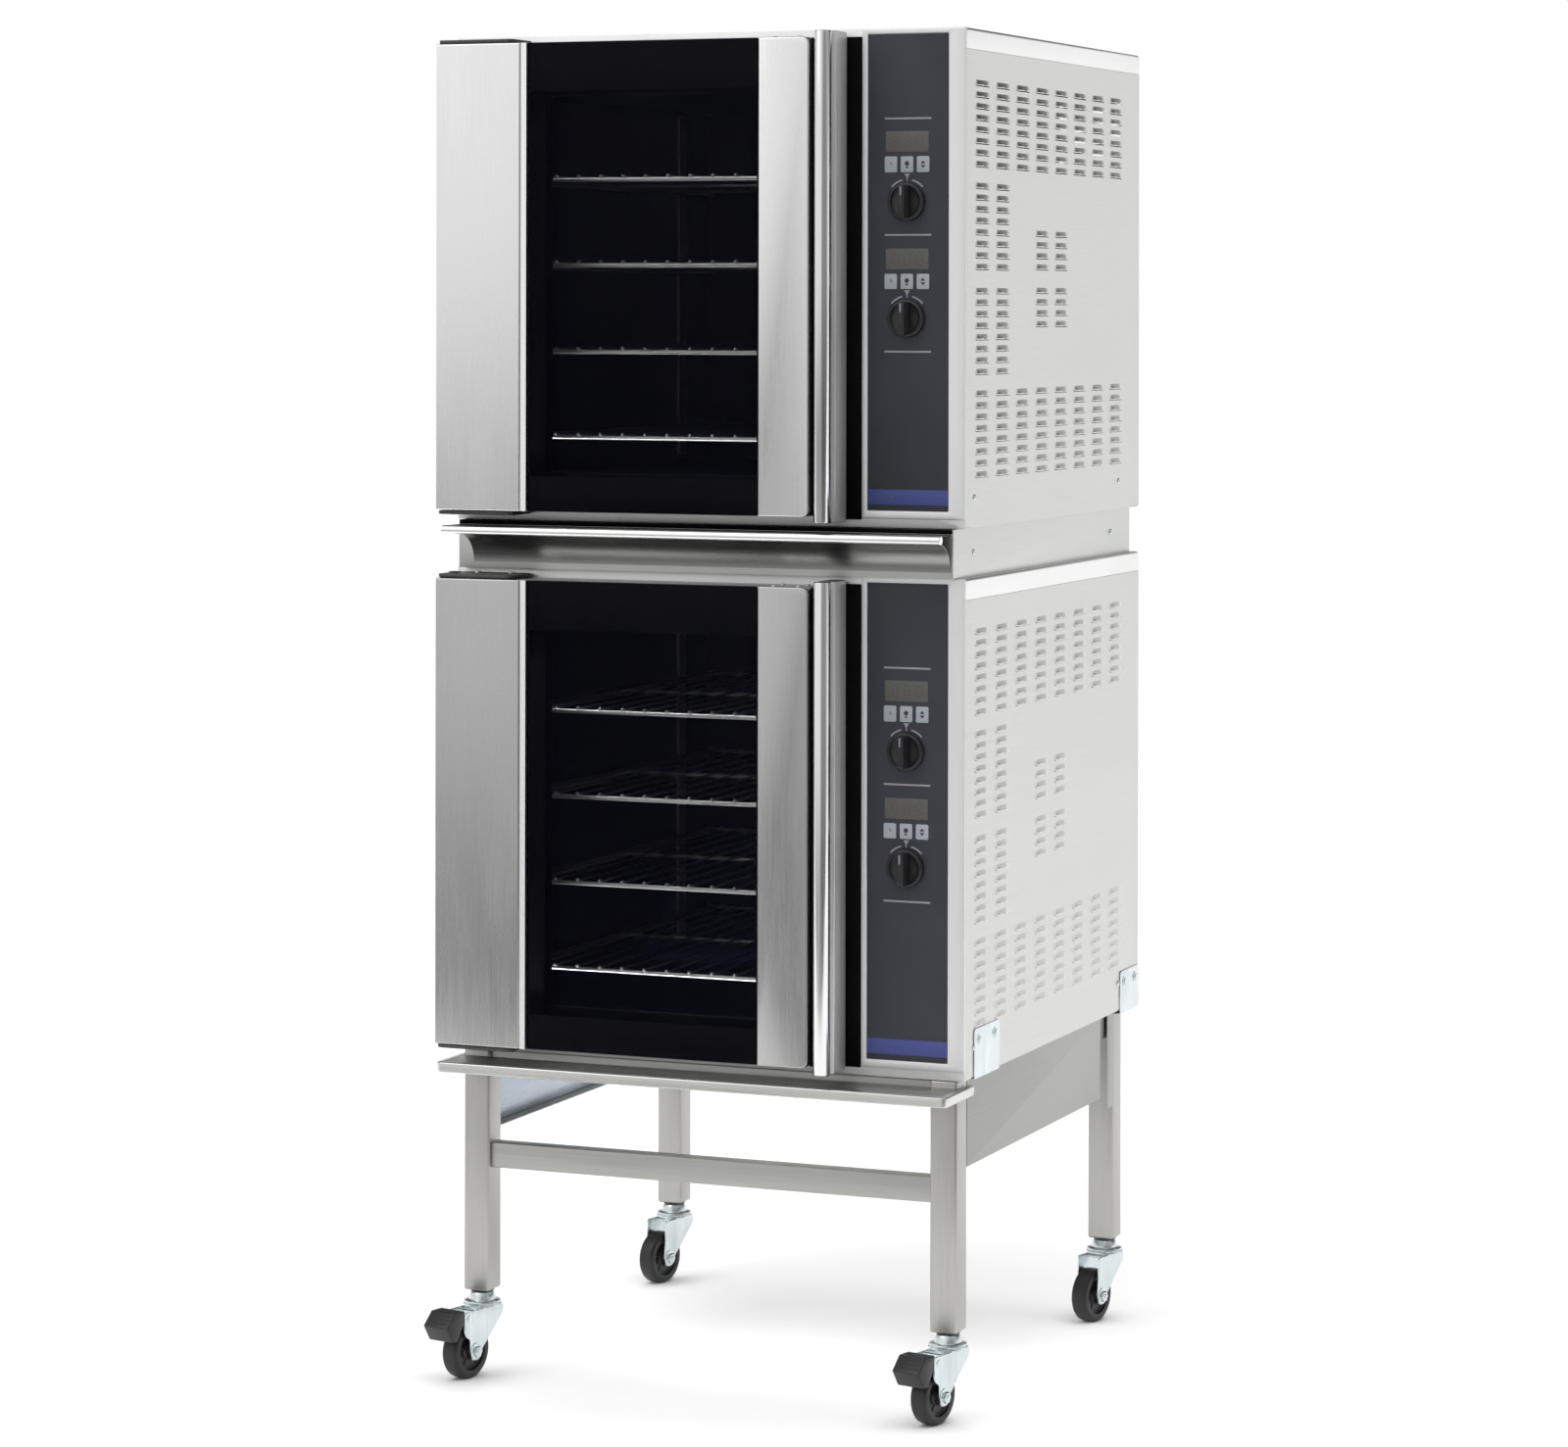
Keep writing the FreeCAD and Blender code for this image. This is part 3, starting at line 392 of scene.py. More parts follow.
def sideSheet(side, places):
    # a sheet folded at front and back: grid of fold outline (x, y) by heights z, with a hole under every louvre
    c, v = casingValues, louvreValues
    half, bottom, top = c["halfWidth"], 2, c["height"] - c["flange"] - 0.4
    front, back = arc((half - 2.5, 4), 2.5, 270, 360, 4), arc((half - 2.5, c["depth"] - 2.2), 2.5, 0, 90, 4)
    ends = [[half - c["fold"], 1.5]], [[half - c["fold"], c["depth"] + 0.3]]
    cuts = np.unique(np.concatenate([places[:, 0] + s * v["width"] / 2 for s in (-1, 1)]))
    middle = np.stack([np.full(cuts.size, half), cuts], axis=-1)
    outline = np.concatenate([ends[0], front, middle, back, ends[1]])
    levels = np.array([0, v["lip"] / 2, v["lip"], v["tall"]])
    heights = np.unique(np.round(np.concatenate([[bottom, top], (places[:, 1, None] - levels).ravel()]), 3))
    points = np.concatenate([np.repeat(outline[None], heights.size, axis=0),
                             np.repeat(heights[:, None, None], outline.shape[0], axis=1)], axis=-1).reshape(-1, 3)
    faces = gridFaces(heights.size, outline.shape[0])
    middles = points[faces].mean(axis=1)
    inY = np.abs(middles[:, None, 1] - places[:, 0]) < v["width"] / 2
    inZ = (middles[:, None, 2] < places[:, 1]) & (middles[:, None, 2] > places[:, 1] - v["tall"])
    onFlat = middles[:, 0] > half - 0.01
    faces = faces[~((inY & inZ).any(axis=1) & onFlat)]
    if side < 0:
        points = points * [-1, 1, 1]
        faces = faces[:, ::-1]
    return points, [faces]


def louvreHoods(places):
    # hood: x = proud * w^0.9 * (1 - |u|^8), u across the slot, w down to the lip, then the lip rolls back under
    v = louvreValues
    u, w = np.array([-1, -0.93, -0.8, -0.4, 0, 0.4, 0.8, 0.93, 1]), np.array([0, 0.35, 0.75, 0.95, 1])
    rise = v["proud"] * np.array([0, 0.36, 0.80, 1, 0.93])[:, None] * (1 - np.abs(u) ** 8)
    hood = np.stack([casingValues["halfWidth"] + 0.05 + rise, np.broadcast_to(u * v["width"] / 2, rise.shape),
                     np.broadcast_to(-w[:, None] * v["lip"], rise.shape)], axis=-1).reshape(-1, 3)
    shift = np.concatenate([np.zeros((len(places), 1)), places], axis=1)
    points = (hood[None] + shift[:, None]).reshape(-1, 3)
    cells = gridFaces(w.size, u.size)[:, ::-1]
    return points, [(cells[None] + np.arange(len(places))[:, None, None] * rise.size).reshape(-1, 4)]


def topCover():
    # rounded outlines stacked up the flange, then drawn in over the edge radius, closed by the flat top
    c = casingValues
    lift = np.linspace(0, math.pi / 2, 5)
    insets = np.concatenate([[0], 4 * (1 - np.cos(lift))])
    heights = np.concatenate([[c["height"] - c["flange"]], c["height"] - 4 + 4 * np.sin(lift)])
    outlines = [roundedOutline((i - c["halfWidth"], c["halfWidth"] - i), (1.5 + i, c["depth"] - i), 3) for i in insets]
    rings = [np.insert(outline, 2, h, axis=1) for outline, h in zip(outlines, heights)]
    points, faces = lofted(rings)
    return points, [faces[0], faces[2]]


def drawnIn(outline, distance):
    # each point moves along the inward normal of the line between its two neighbours
    along = np.roll(outline, -1, axis=0) - np.roll(outline, 1, axis=0)
    x, y = outline.T
    turnSign = np.sign(np.sum(x * np.roll(y, -1) - y * np.roll(x, -1)))
    inward = np.stack([-along[:, 1], along[:, 0]], axis=-1) / np.linalg.norm(along, axis=1, keepdims=True)
    return outline + inward * turnSign * distance


def plate(outline, depth, edge=0.8, normal="y", hole=None, steps=3):
    # outline drawn in by edge * (1 - sin lift) while the depth moves by edge * (1 - cos lift), front and back
    lift = np.linspace(0, math.pi / 2, steps + 1)
    insets = np.concatenate([edge * (1 - np.sin(lift)), edge * (1 - np.sin(lift))[::-1]])
    rise = edge * (1 - np.cos(lift))
    depths = np.concatenate([depth[0] + rise, depth[1] - rise[::-1]])
    at = "xyz".index(normal)
    rings = [np.insert(drawnIn(outline, i), at, d, axis=1) for i, d in zip(insets, depths)]
    if hole is not None:
        rings += [np.insert(drawnIn(hole, -i), at, d, axis=1) for i, d in zip(insets[::-1], depths[::-1])]
    return lofted(rings, loop=hole is not None)


def softPlate(x, y, z, corner=3, edge=0.8, normal="y", hole=None, holeCorner=2):
    # a rectangular plate between three pairs of limits, its corners and edges rounded
    a, b, depth = {"x": (y, z, x), "y": (x, z, y), "z": (x, y, z)}[normal]
    hole = roundedOutline(*hole, holeCorner) if hole else None
    return plate(roundedOutline(a, b, max(corner, edge + 0.1)), depth, edge, normal, hole)


def makeCasing(oven):
    c, half = casingValues, casingValues["halfWidth"]
    places, fascia, side = louvrePlaces(), (oven + "_front_fascia",), (oven + "_right_side_panel",)

    def add(part, shapes, finish, stoodFor=(), slotName="case_steel", **how):
        return addPiece(oven + part, shapes, ovenBase[oven], stack, finish, slotName, stoodFor, **how)

    sheets = [add("_louvred_side", [sideSheet(1, places)], "case", side, sharp=12, closed=False),
              add("_plain_side", [sideSheet(-1, np.empty((0, 2)))], "case", (oven + "_left_side_panel",), closed=False),
              add("_top_cover", [topCover()], "top", (oven + "_top_panel",), closed=False),
              add("_louvre_hoods", [louvreHoods(places)], "hood", side, sharp=60, closed=False)]
    for sheet in sheets:
        thicken(sheet, 0.9, -1)
    add("_fascia_sheet", [
        softPlate((-half, half), (0, 1.5), (0, c["height"]), 1, 0.3, hole=c["mouth"], holeCorner=3),
        softPlate((223, half), (-2, 0.2), (12, c["height"]), 1.2, 0.9, hole=c["column"], holeCorner=1.5)],
        "face", fascia)
    # a black strip on the fascia between the pull and the column: painted shadow in the gap
    gap = softPlate((181, 222.4), (-1.4, 0.1), (10, 645), 1, 0.5)
    add("_column_gap_shadow", [gap], "shadow", fascia, "seal_rubber")
    screws = [screwHead((side * (half + 0.1), y, 40), (side, 0, 0), 4.2, 2) for side in (-1, 1) for y in (34, 643)]
    screws += [screwHead((x, c["depth"] + 0.1, z), (0, 1, 0), 4.2, 2)
               for x in (-340, -170, 0, 170, 345) for z in (24, 610)]
    add("_casing_screws", screws, "zinc")
    fins = [softPlate((245, 345), (c["depth"], c["depth"] + 3), (504 + row * 9, 507 + row * 9), 1.2, 1)
            for row in range(10)]
    add("_rear_vent_hoods", fins, "case")


# Control column.

controlValues = {"knobX": 286, "knobRadius": 25.5, "keyX": (254.5, 277, 299.5), "keyWidth": 17.5,
                 "lineX": (254.5, 319.6), "lines": (536.7, 384, 231), "displayX": (256, 316),
                 "digits": (266, 16.5, 8.5),
                 "blocks": {"time": {"knob": 427.6, "display": (493, 520), "keys": (466, 487)},
                            "temperature": {"knob": 275, "display": (339, 366), "keys": (313, 333)}}}


def flatPrint(points, front, back=-1):
    # a printed shape: its outline (x, z) raised from the overlay to the front depth
    points = np.asarray(points, float)
    return lofted([np.insert(points, 1, y, axis=1) for y in (front, back)])


def printedArc(centre, inner, outer, start, end):
    # a band between two radii, out along one arc and home along the other
    return flatPrint(np.concatenate([arc(centre, outer, start, end, 10), arc(centre, inner, end, start, 10)]), -1.5)


def bar(x, z, front=-1.5):
    return flatPrint([(x[0], z[0]), (x[1], z[0]), (x[1], z[1]), (x[0], z[1])], front)


def unlitDigit(x, z, width, height):
    # seven thin bars in the layout of a display digit
    stroke, middle = 1.1, z + height / 2
    flat = [bar((x + 1.4, x + width - 1.4), (h - stroke / 2, h + stroke / 2), -1.45) for h in (z, middle, z + height)]
    tall = [bar((at - stroke / 2, at + stroke / 2), (low + 1, low + height / 2 - 1), -1.45)
            for at in (x, x + width) for low in (z, middle)]
    return flat + tall


def keyIcon(kind, x, z):
    # three plain symbols: a clock face, a lamp and an up-down pair
    if kind == 0:
        return [printedArc((x, z), 4, 5, 0, 359), bar((x - 0.5, x + 0.5), (z, z + 3.4), -1.85),
                bar((x, x + 2.6), (z - 0.5, z + 0.5), -1.85)]
    if kind == 1:
        return [flatPrint(arc((x, z + 1.2), 3.2, 0, 350, 12), -1.85), bar((x - 1.5, x + 1.5), (z - 5, z - 2.8), -1.85)]
    return [flatPrint([(x - 3.4, z + 1), (x + 3.4, z + 1), (x, z + 5)], -1.85),
            flatPrint([(x - 3.4, z - 1), (x, z - 5), (x + 3.4, z - 1)], -1.85)]


def makeControls(oven):
    v = controlValues
    displays, digits, keys, icons = [], [], [], []
    marks = [softPlate(v["lineX"], (-1.45, -1), (z - 1.2, z + 1.2), 0.6, 0.15) for z in v["lines"]]
    first, pitch, width = v["digits"]
    for block in v["blocks"].values():
        low, high = block["display"]
        displays.append(softPlate(v["displayX"], (-1.4, -0.8), (low, high), 1.5, 0.2))
        digits += [d for n in range(3) for d in unlitDigit(first + n * pitch, low + 6, width, high - low - 12)]
        low, high = block["keys"]
        for kind, x in enumerate(v["keyX"]):
            keys.append(softPlate((x, x + v["keyWidth"]), (-1.75, -0.8), (low, high), 2, 0.35))
            icons += keyIcon(kind, x + v["keyWidth"] / 2, (low + high) / 2)
        x, z, radius = v["knobX"], block["knob"], v["knobRadius"]
        marks += [printedArc((x, z), radius + 2.4, radius + 4.6, a, a + 34) for a in (104, 42)]
        tip = z + radius + 1.5
        marks.append(flatPrint([(x - 4, low - 1.5), (x + 4, low - 1.5), (x + 0.8, low - 7), (x + 0.8, tip),
                                (x - 0.8, tip), (x - 0.8, low - 7)], -1.45))
    overlay = [softPlate((231.4, 343.6), (-1.2, 0.4), (22.4, 647.6), 0.8, 0.35)]
    strip = [softPlate((231.6, 343.4), (-1.5, -0.8), (30, 50), 0.6, 0.2)]
    for part, shapes, finish in (("_overlay", overlay, "film"), ("_display_windows", displays, "display"),
                                 ("_display_digits", digits, "digit"), ("_keys", keys, "key"),
                                 ("_key_icons", icons, "film"), ("_printed_marks", marks, "mark"),
                                 ("_foot_strip", strip, "strip")):
        addPiece(oven + part, shapes, ovenBase[oven], stack, finish, "panel_film", (oven + "_control_panel",))
    for name, block in v["blocks"].items():
        makeKnob(oven, name, block["knob"])


def makeKnob(oven, name, z):
    # skirt and dish turned about the shaft, with a tapered grip bar across the dish
    x, knob = controlValues["knobX"], oven + "_" + name + "_knob"
    outline = np.array([(2.2, 3), (2.2, 24.6), (2.9, 25.5), (7.6, 25.1), (9.3, 24.2), (10, 22.6), (9.9, 21.4),
                        (8.2, 20.2), (7.3, 17), (6.9, 12), (6.8, 0.4)])
    dish = turned(outline, (x, 0, z), (0, -1, 0), 64)
    shaft = turned([(-11.5, 2.9), (3, 2.9)], (x, 0, z), (0, -1, 0), 20)
    grip, faces = roundedBox((-6, -26.5, -22), (6, -6, 22), 3, 3)
    narrow = 1 - 0.34 * np.clip((-grip[:, 1] - 8) / 18, 0, 1)
    grip = grip * np.stack([narrow, np.ones(len(grip)), 1 - 0.10 * (1 - narrow)], axis=-1) + [x, 0, z]
    pointer = softPlate((x - 0.9, x + 0.9), (-26.9, -26), (z + 8, z + 19), 0.6, 0.2)
    for part, shapes, finish, sharp in (("_body", [dish, shaft, (grip, faces)], "knob", 40),
                                        ("_pointer", [pointer], "mark", 35)):
        addPiece(knob + part, shapes, ovenBase[oven], knob, finish, "black_plastic", (knob,), sharp=sharp)


# Door.

doorValues = {"front": -70, "back": -6, "bottom": 15, "top": 643, "left": -367.5, "stripX": (-242, -232.6),
              "glassX": (-233, 102), "stileX": (102, 174), "hinge": (-357.5, -30),
              "outerView": ((-228.5, 99.5), (62, 577)), "innerView": ((-222, 93), (64, 575))}


def pullOutlines():
    # a round nose; behind it a body with a narrow groove, then a flat side with a slight step near the back
    nose = arc((191.5, -62.5), 11.5, 0, 352.5, 47)
    groove = np.array([(201.6, -57.6), (198.6, -54.6), (197.4, -53.2), (198, -51.6), (203.2, -50.6), (204.2, -49.8)])
    side = np.array([(204.6, -48.6), (204.6, -31), (203.4, -29.4), (203.4, -8), (202.4, -6)])
    return nose, np.concatenate([[(180, -6), (180, -60)], groove, side])


def makeDoor(oven):
    v = doorValues
    z, front, back = (v["bottom"], v["top"]), v["front"], v["back"]
    (stripLeft, stripRight), (stileLeft, stileRight) = v["stripX"], v["stileX"]

    def add(part, shapes, finish, slotName, node, **how):
        door = oven + "_door"
        addPiece(oven + part, shapes, ovenBase[oven], door, finish, slotName, (door + "_" + node,), **how)

    x = (stileLeft + 0.3, stileRight)
    corners = np.array([[0.8], [11], [11], [0.8]])
    freeStile = roundedPolygon([(x[0], z[0]), (x[1], z[0]), (x[1], z[1]), (x[0], z[1])], corners, 6)
    stiles = [roundedBox((v["left"], front, z[0]), (stripLeft, back, z[1]), 2.2, 4),
              plate(freeStile, (front, back), 2, steps=4)]
    rails = [roundedBox((stripLeft - 2, -64, low), (stileLeft + 2, back, high), 1.5, 2)
             for low, high in ((z[0], 50), (600, z[1]))]
    # the lower door takes the darker copy of the door steel, painted shade
    add("_door_stiles", stiles + rails, "door" if oven == "upper" else "doorShaded", "door_steel", "frame")
    strip = np.array([(stripLeft + 0.3, front + 1.6), (stripRight - 0.3, front + 0.1), (stripRight, -40),
                      (stripLeft, -40)])
    strip = lofted([np.insert(strip, 2, h, axis=1) for h in (z[0] + 0.4, z[1] - 0.4)])
    add("_door_bright_strip", [strip], "edge", "door_steel", "frame")
    groove = roundedBox((stileRight - 2, -56, z[0] + 1), (180, back, z[1] - 1), 0.8)
    add("_door_groove", [groove], "shadow", "door_steel", "frame")
    outerBand = softPlate((-232.6, 101.6), (front + 4.9, front + 5.7), (15.4, 642.6), 0.8, 0.2, hole=v["outerView"],
                          holeCorner=4)
    innerBand = softPlate((-242.5, 101), (-8.3, -7.6), (51, 599), 0.8, 0.2, hole=v["innerView"], holeCorner=5)
    outer = softPlate(v["glassX"], (front, front + 4.6), z, 1, 0.7)
    inner = softPlate((-232.5, 101.5), (-12, -8.4), (50.5, 599.5), 1, 0.6)
    spacers = [softPlate(x, (-64.2, -8.6), (z[0] + 1, z[1] - 1), 0.8, 0.3, normal="x")
               for x in ((-232.9, -231.6), (100.4, 101.7))]
    for part, shapes, finish, slotName in (("_outer_pane", [outer], "glass", "door_glass"),
                                           ("_pane_band", [outerBand], "glassBand", "door_glass"),
                                           ("_inner_pane", [inner], "glass", "door_glass"),
                                           ("_pane_spacers", spacers, "shadow", "black_plastic"),
                                           ("_inner_pane_band", [innerBand], "glassBand", "door_glass")):
        add(part, shapes, finish, slotName, "glass")
    caps = []
    # the pull's body takes the darker copy of the pull's steel, painted shade beside the bright nose
    for part, outline, finish in zip(("_door_pull", "_pull_body"), pullOutlines(), ("handle", "shadedPullBody")):
        middle = outline.mean(axis=0)
        scaled = lambda k, h: np.insert((outline - middle) * k + middle, 2, h, axis=1)
        rings = [scaled(k, h) for k, h in ((0.965, 8), (1, 9), (1, 649), (0.965, 650))]
        add(part, [lofted(rings)], finish, "door_steel", "handle", sharp=32)
        caps += [lofted([scaled(0.93, h) for h in heights]) for heights in ((7.4, 8.4), (649.6, 650.6))]
    add("_pull_end_caps", caps, "pedal", "black_plastic", "handle")
    screws = [screwHead((x, y, z[1] + 0.1), (0, 0, 1), 3.6, 1.6) for x in (120, 155) for y in (-54, -22)]
    add("_door_top_screws", screws, "zinc", "door_steel", "frame")


def makeHinges():
    # a rounded plate above and below each door, with the pin's head and two screws
    shapes, screws, (pinX, pinY) = [], [], doorValues["hinge"]
    for low in ovenBase.values():
        lift = (low - ovenBase["lower"]) / mm
        for z, out in ((643.5, 1), (9, -1)):
            flat, faces = softPlate((-367.5, -255), (-66, 0), (z, z + 5), 9, 1.2, normal="z")
            shapes.append((flat + [0, 0, lift], faces))
            at = z + (5 if out > 0 else 0) + lift
            shapes.append(turned([(-1, 8.5), (0.3, 8.5), (1.4, 7.4), (1.8, 4), (1.9, 0.4)], (pinX, pinY, at),
                                 (0, 0, out), 28))
            if out < 0:
                shapes.append(turned([(0, 4), (22, 4)], (pinX, pinY, z + 4 + lift), (0, 0, 1), 16))
            screws += [screwHead((x, -14, at), (0, 0, out), 4.6, 1.8) for x in (-330, -280)]
    for name, parts, finish in (("hinge_plates", shapes, "hinge"), ("hinge_screws", screws, "zinc")):
        addPiece(name, parts, ovenBase["lower"], stack, finish, "hinge_steel", ("hinge_brackets",))


def makeSeals():
    rings = []
    for oven, low in ovenBase.items():
        points, faces = softPlate((-313, 178), (-5.4, 1.6), (49, 590), 10, 2.6, hole=((-296, 161), (66, 573)),
                                  holeCorner=4)
        rings.append((points + [0, 0, (low - ovenBase["lower"]) / mm], faces))
    addPiece("door_seal_rings", rings, ovenBase["lower"], stack, "seal", "seal_rubber", ("door_seals",))


rackValues = {"levels": (112, 228, 345, 461), "x": (-288, 153), "frontY": 27, "rod": 3.05,
              "wireX": (-265.5, 130.5, 13), "lap": 3.9}


def makeRackFronts(oven):
    # a rod along each rack's front edge, and the rounded ends of the wires that lap over it
    v = rackValues
    left, y, length = v["x"][0], v["frontY"], v["x"][1] - v["x"][0]
    tip = [(0, 0.3), (0.5, 1.8), (1.5, 2.5), (6, 2.5), (9, 1.52), (9.4, 0.3)]
    for number, level in enumerate(v["levels"], 1):
        rod = turned([(0, 0.4), (0, v["rod"]), (length, v["rod"]), (length, 0.4)], (left, y, level), (1, 0, 0), 20)
        tips = [turned(tip, (x, y - 4.4, level + v["lap"] + 0.6), (0, 1, 0), 12) for x in np.linspace(*v["wireX"])]
        rack = "%s_rack_%d" % (oven, number)
        # the front rods take the lighter copy of the rack wire, painted light near the door
        addPiece(rack + "_front_rod", [rod] + tips, ovenBase[oven], rack, "frontRod", "rack_wire")


def makeCavityLamp(oven):
    # a glass dome in a dished ring on the back wall
    lift = np.linspace(0, math.pi / 2, 9)
    ring = [(-1, 27), (1.5, 27), (4.5, 25), (5.5, 22), (3, 20.5), (2.5, 0.5)]
    dome = np.stack([2 + 13 * np.sin(lift), 0.5 + 19 * np.cos(lift)], axis=-1)
    for part, outline, finish in (("_lamp_ring", ring, "wire"), ("_lamp_glass", dome, "lampGlass")):
        addPiece(oven + part, [turned(outline, (110, 704, 520), (0, -1, 0), 40)], ovenBase[oven], stack, finish,
                 "cavity_steel")


# Riser and stand; heights from the floor.

riserValues = {"bottom": 1100, "height": 65, "half": 357, "front": -18, "back": 725, "wall": 1.5,
               "barRadius": 6, "barY": -63.6, "barZ": 53, "bar": (-359.5, 355.5),
               "coveLeft": -334}


def makeRiser():
    # four thin walls, a narrow shelf at the front, a bar of circular section along the shelf's edge, and a
    # cove under it: y = -18.4 - 45 (1 - cos t), z = 9 + 39 sin t
    v = riserValues
    half, front, back, wall, bottom = (v[k] for k in ("half", "front", "back", "wall", "bottom"))
    top, radius = bottom + v["height"], v["barRadius"]

    def add(name, shapes, finish, slotName="stand_steel", **how):
        return addPiece(name, shapes, 0, stack, finish, slotName, ("riser",), **how)

    face = softPlate((-half, half), (front, front + wall), (bottom + 0.2, top - 0.2), 0.6, 0.3)
    add("riser_front_wall", [face], "case")
    t = np.linspace(0, math.pi / 2, 17)
    curve = np.stack([front - 0.4 - 45 * (1 - np.cos(t)), bottom + 9 + 39 * np.sin(t)], axis=-1)
    rows = [np.insert(curve, 0, x, axis=1) for x in np.linspace(v["coveLeft"], half - 3, 9)]
    cove = (np.concatenate(rows), [gridFaces(9, t.size)[:, ::-1]])
    # the cove takes the darker copy of the steel, painted shade under the shelf
    thicken(add("riser_cove", [cove], "cove", closed=False, sharp=50), 1, 1)
    walls = [softPlate((-half, half), (back, back + wall), (bottom, top), 0.6, 0.3),
             softPlate((-half, half), (front + 2, 0), (bottom + 0.1, bottom + 1.4), 0.6, 0.3, normal="z")]
    walls += [softPlate(x, (front + wall + 0.1, back), (bottom, top), 1, 0.5, normal="x")
              for x in ((-half, wall - half), (half - wall, half))]
    add("riser_walls", walls, "case")
    span = v["bar"][1] - v["bar"][0]
    outline = np.array([(-0.8, 0.4), (-0.8, radius - 0.8), (0, radius), (span, radius), (span + 0.8, radius - 0.8),
                        (span + 0.8, 0.4)])
    place = (v["bar"][0] + 0.8, v["barY"], bottom + v["barZ"])
    add("riser_bar", [turned(outline, place, (1, 0, 0), 40)], "edge")
    # the shelf is near-black all over: painted shade standing for the shade beneath it
    z = (bottom + 57, bottom + 58.6)
    shelf = softPlate((-half, half - 3), (v["barY"] + 2, front - 0.1), z, 0.8, 0.4, normal="z")
    add("riser_shelf", [shelf], "shelfShade")
    # a black strip along the riser's top: painted shadow in the gap under the oven's base
    gap = softPlate((1 - half, half - 1), (front - 0.7, front - 0.1), (bottom + 59, top - 0.2), 0.8, 0.2)
    add("riser_top_shadow", [gap], "shadow", "seal_rubber")
    screws = [screwHead((side * half, y, bottom + 32), (side, 0, 0), 4.4, 2) for side in (-1, 1) for y in (60, 640)]
    add("riser_screws", screws, "zinc")


standValues = {"legX": (319, 357), "legSize": 38, "legBottom": 115, "top": 445, "frontY": 0, "rearY": 655,
               "rimZ": (421, 435), "rimY": (-68, 36), "rimCorner": 9,
               "crossRails": ((6, 283, 317), (6, 407, 444), (661, 407, 444)), "sheetY": (38, 595), "sheetZ": (327, 444),
               "brackets": (((33, 133), (-2, 64)), ((651, 737), (-5, 56)))}


def mirrored(side, first, second):
    # the pair of limits, on the left when the side is -1
    return sorted((side * first, side * second))


def makeStand():
    v, size = standValues, standValues["legSize"]

    def add(name, shapes, finish, node="stand_frame", slotName="stand_steel"):
        addPiece(name, shapes, 0, stack, finish, slotName, (node,))

    legs, plugs, panels = [], [], []
    for side in (-1, 1):
        x = mirrored(side, *v["legX"])
        for y in (v["frontY"], v["rearY"]):
            legs.append(roundedBox((x[0], y, v["legBottom"]), (x[1], y + size, v["top"] - 0.3), 3.2, 3))
            plugs.append(turned([(-2, 9), (-2.5, 15.5), (-0.4, 17.2), (1, 17.2)],
                                ((x[0] + x[1]) / 2, y + size / 2, v["legBottom"]), (0, 0, 1), 32))
        x, lip, low = mirrored(side, 357, 355.5), mirrored(side, 355.8, 339), v["sheetZ"][0]
        panels += [softPlate(x, v["sheetY"], v["sheetZ"], 1.5, 0.5, normal="x"),
                   softPlate(lip, v["sheetY"], (low, low + 1.5), 1.5, 0.5, normal="z"),
                   softPlate(x, (628, 655), (307, 444), 5, 0.5, normal="x")]
    add("stand_legs", legs, "stand")
    add("stand_foot_plugs", plugs, "pedal", slotName="black_plastic")
    inner = v["legX"][0] + 1
    rails = [roundedBox((-inner, y, low), (inner, y + 25, high), 2.4, 3) for y, low, high in v["crossRails"]]
    add("stand_cross_rails", rails, "rail")
    sides = [roundedBox((x, 36, 407), (x + 25, 657, 444), 2.4, 3) for x in (-353, 328)]
    add("stand_side_rails", sides, "stand")
    add("stand_side_sheets", panels, "sheet", "stand_side_panels")
    film = softPlate((-355.4, -355), (40, 593), (330, 443), 1, 0.15, normal="x")
    add("left_sheet_inner_film", [film], "blueFilm", "stand_side_panels")
    makeRim()
    makeBrackets()


def makeRim():
    # an open outline (distance in from the edge, z) carried round a U with two small corner arcs
    v, half = standValues, casingValues["halfWidth"]
    r, (front, back) = v["rimCorner"], v["rimY"]
    left, right = arc((-half + r, front + r), r, 180, 270, 8), arc((half - r, front + r), r, 270, 360, 8)
    path = np.concatenate([[(-half, back)], left, right, [(half, back)]])
    out = np.concatenate([[(-1, 0)], (left - [r - half, front + r]) / r, (right - [half - r, front + r]) / r, [(1, 0)]])
    low, high = v["rimZ"]
    bullnose = arc((-2.6, high - 2.6), 2.6, 0, 90, 5)
    lower = [(-7.5, low + 1.2), (-6.4, low + 0.2), (-1.6, low + 0.2), (-0.2, low + 1.6)]
    profile = np.concatenate([lower, bullnose, [(-8.6, high)]])
    path, out = (np.insert(a, 2, 0, axis=1) for a in (path, out))
    edge = addPiece("stand_rim_edge", [carried(profile, path, out)], 0, stack, "rim",
                    "stand_steel", ("stand_top_rim",), closed=False)
    thicken(edge, 1.2, 1)
    shelf = softPlate((-half + 3, half - 3), (front + 3, -0.4), (high - 1.8, high - 0.1), r - 2, 0.4, normal="z")
    addPiece("stand_rim_shelf", [shelf], 0, stack, "rail", "stand_steel", ("stand_top_rim",))


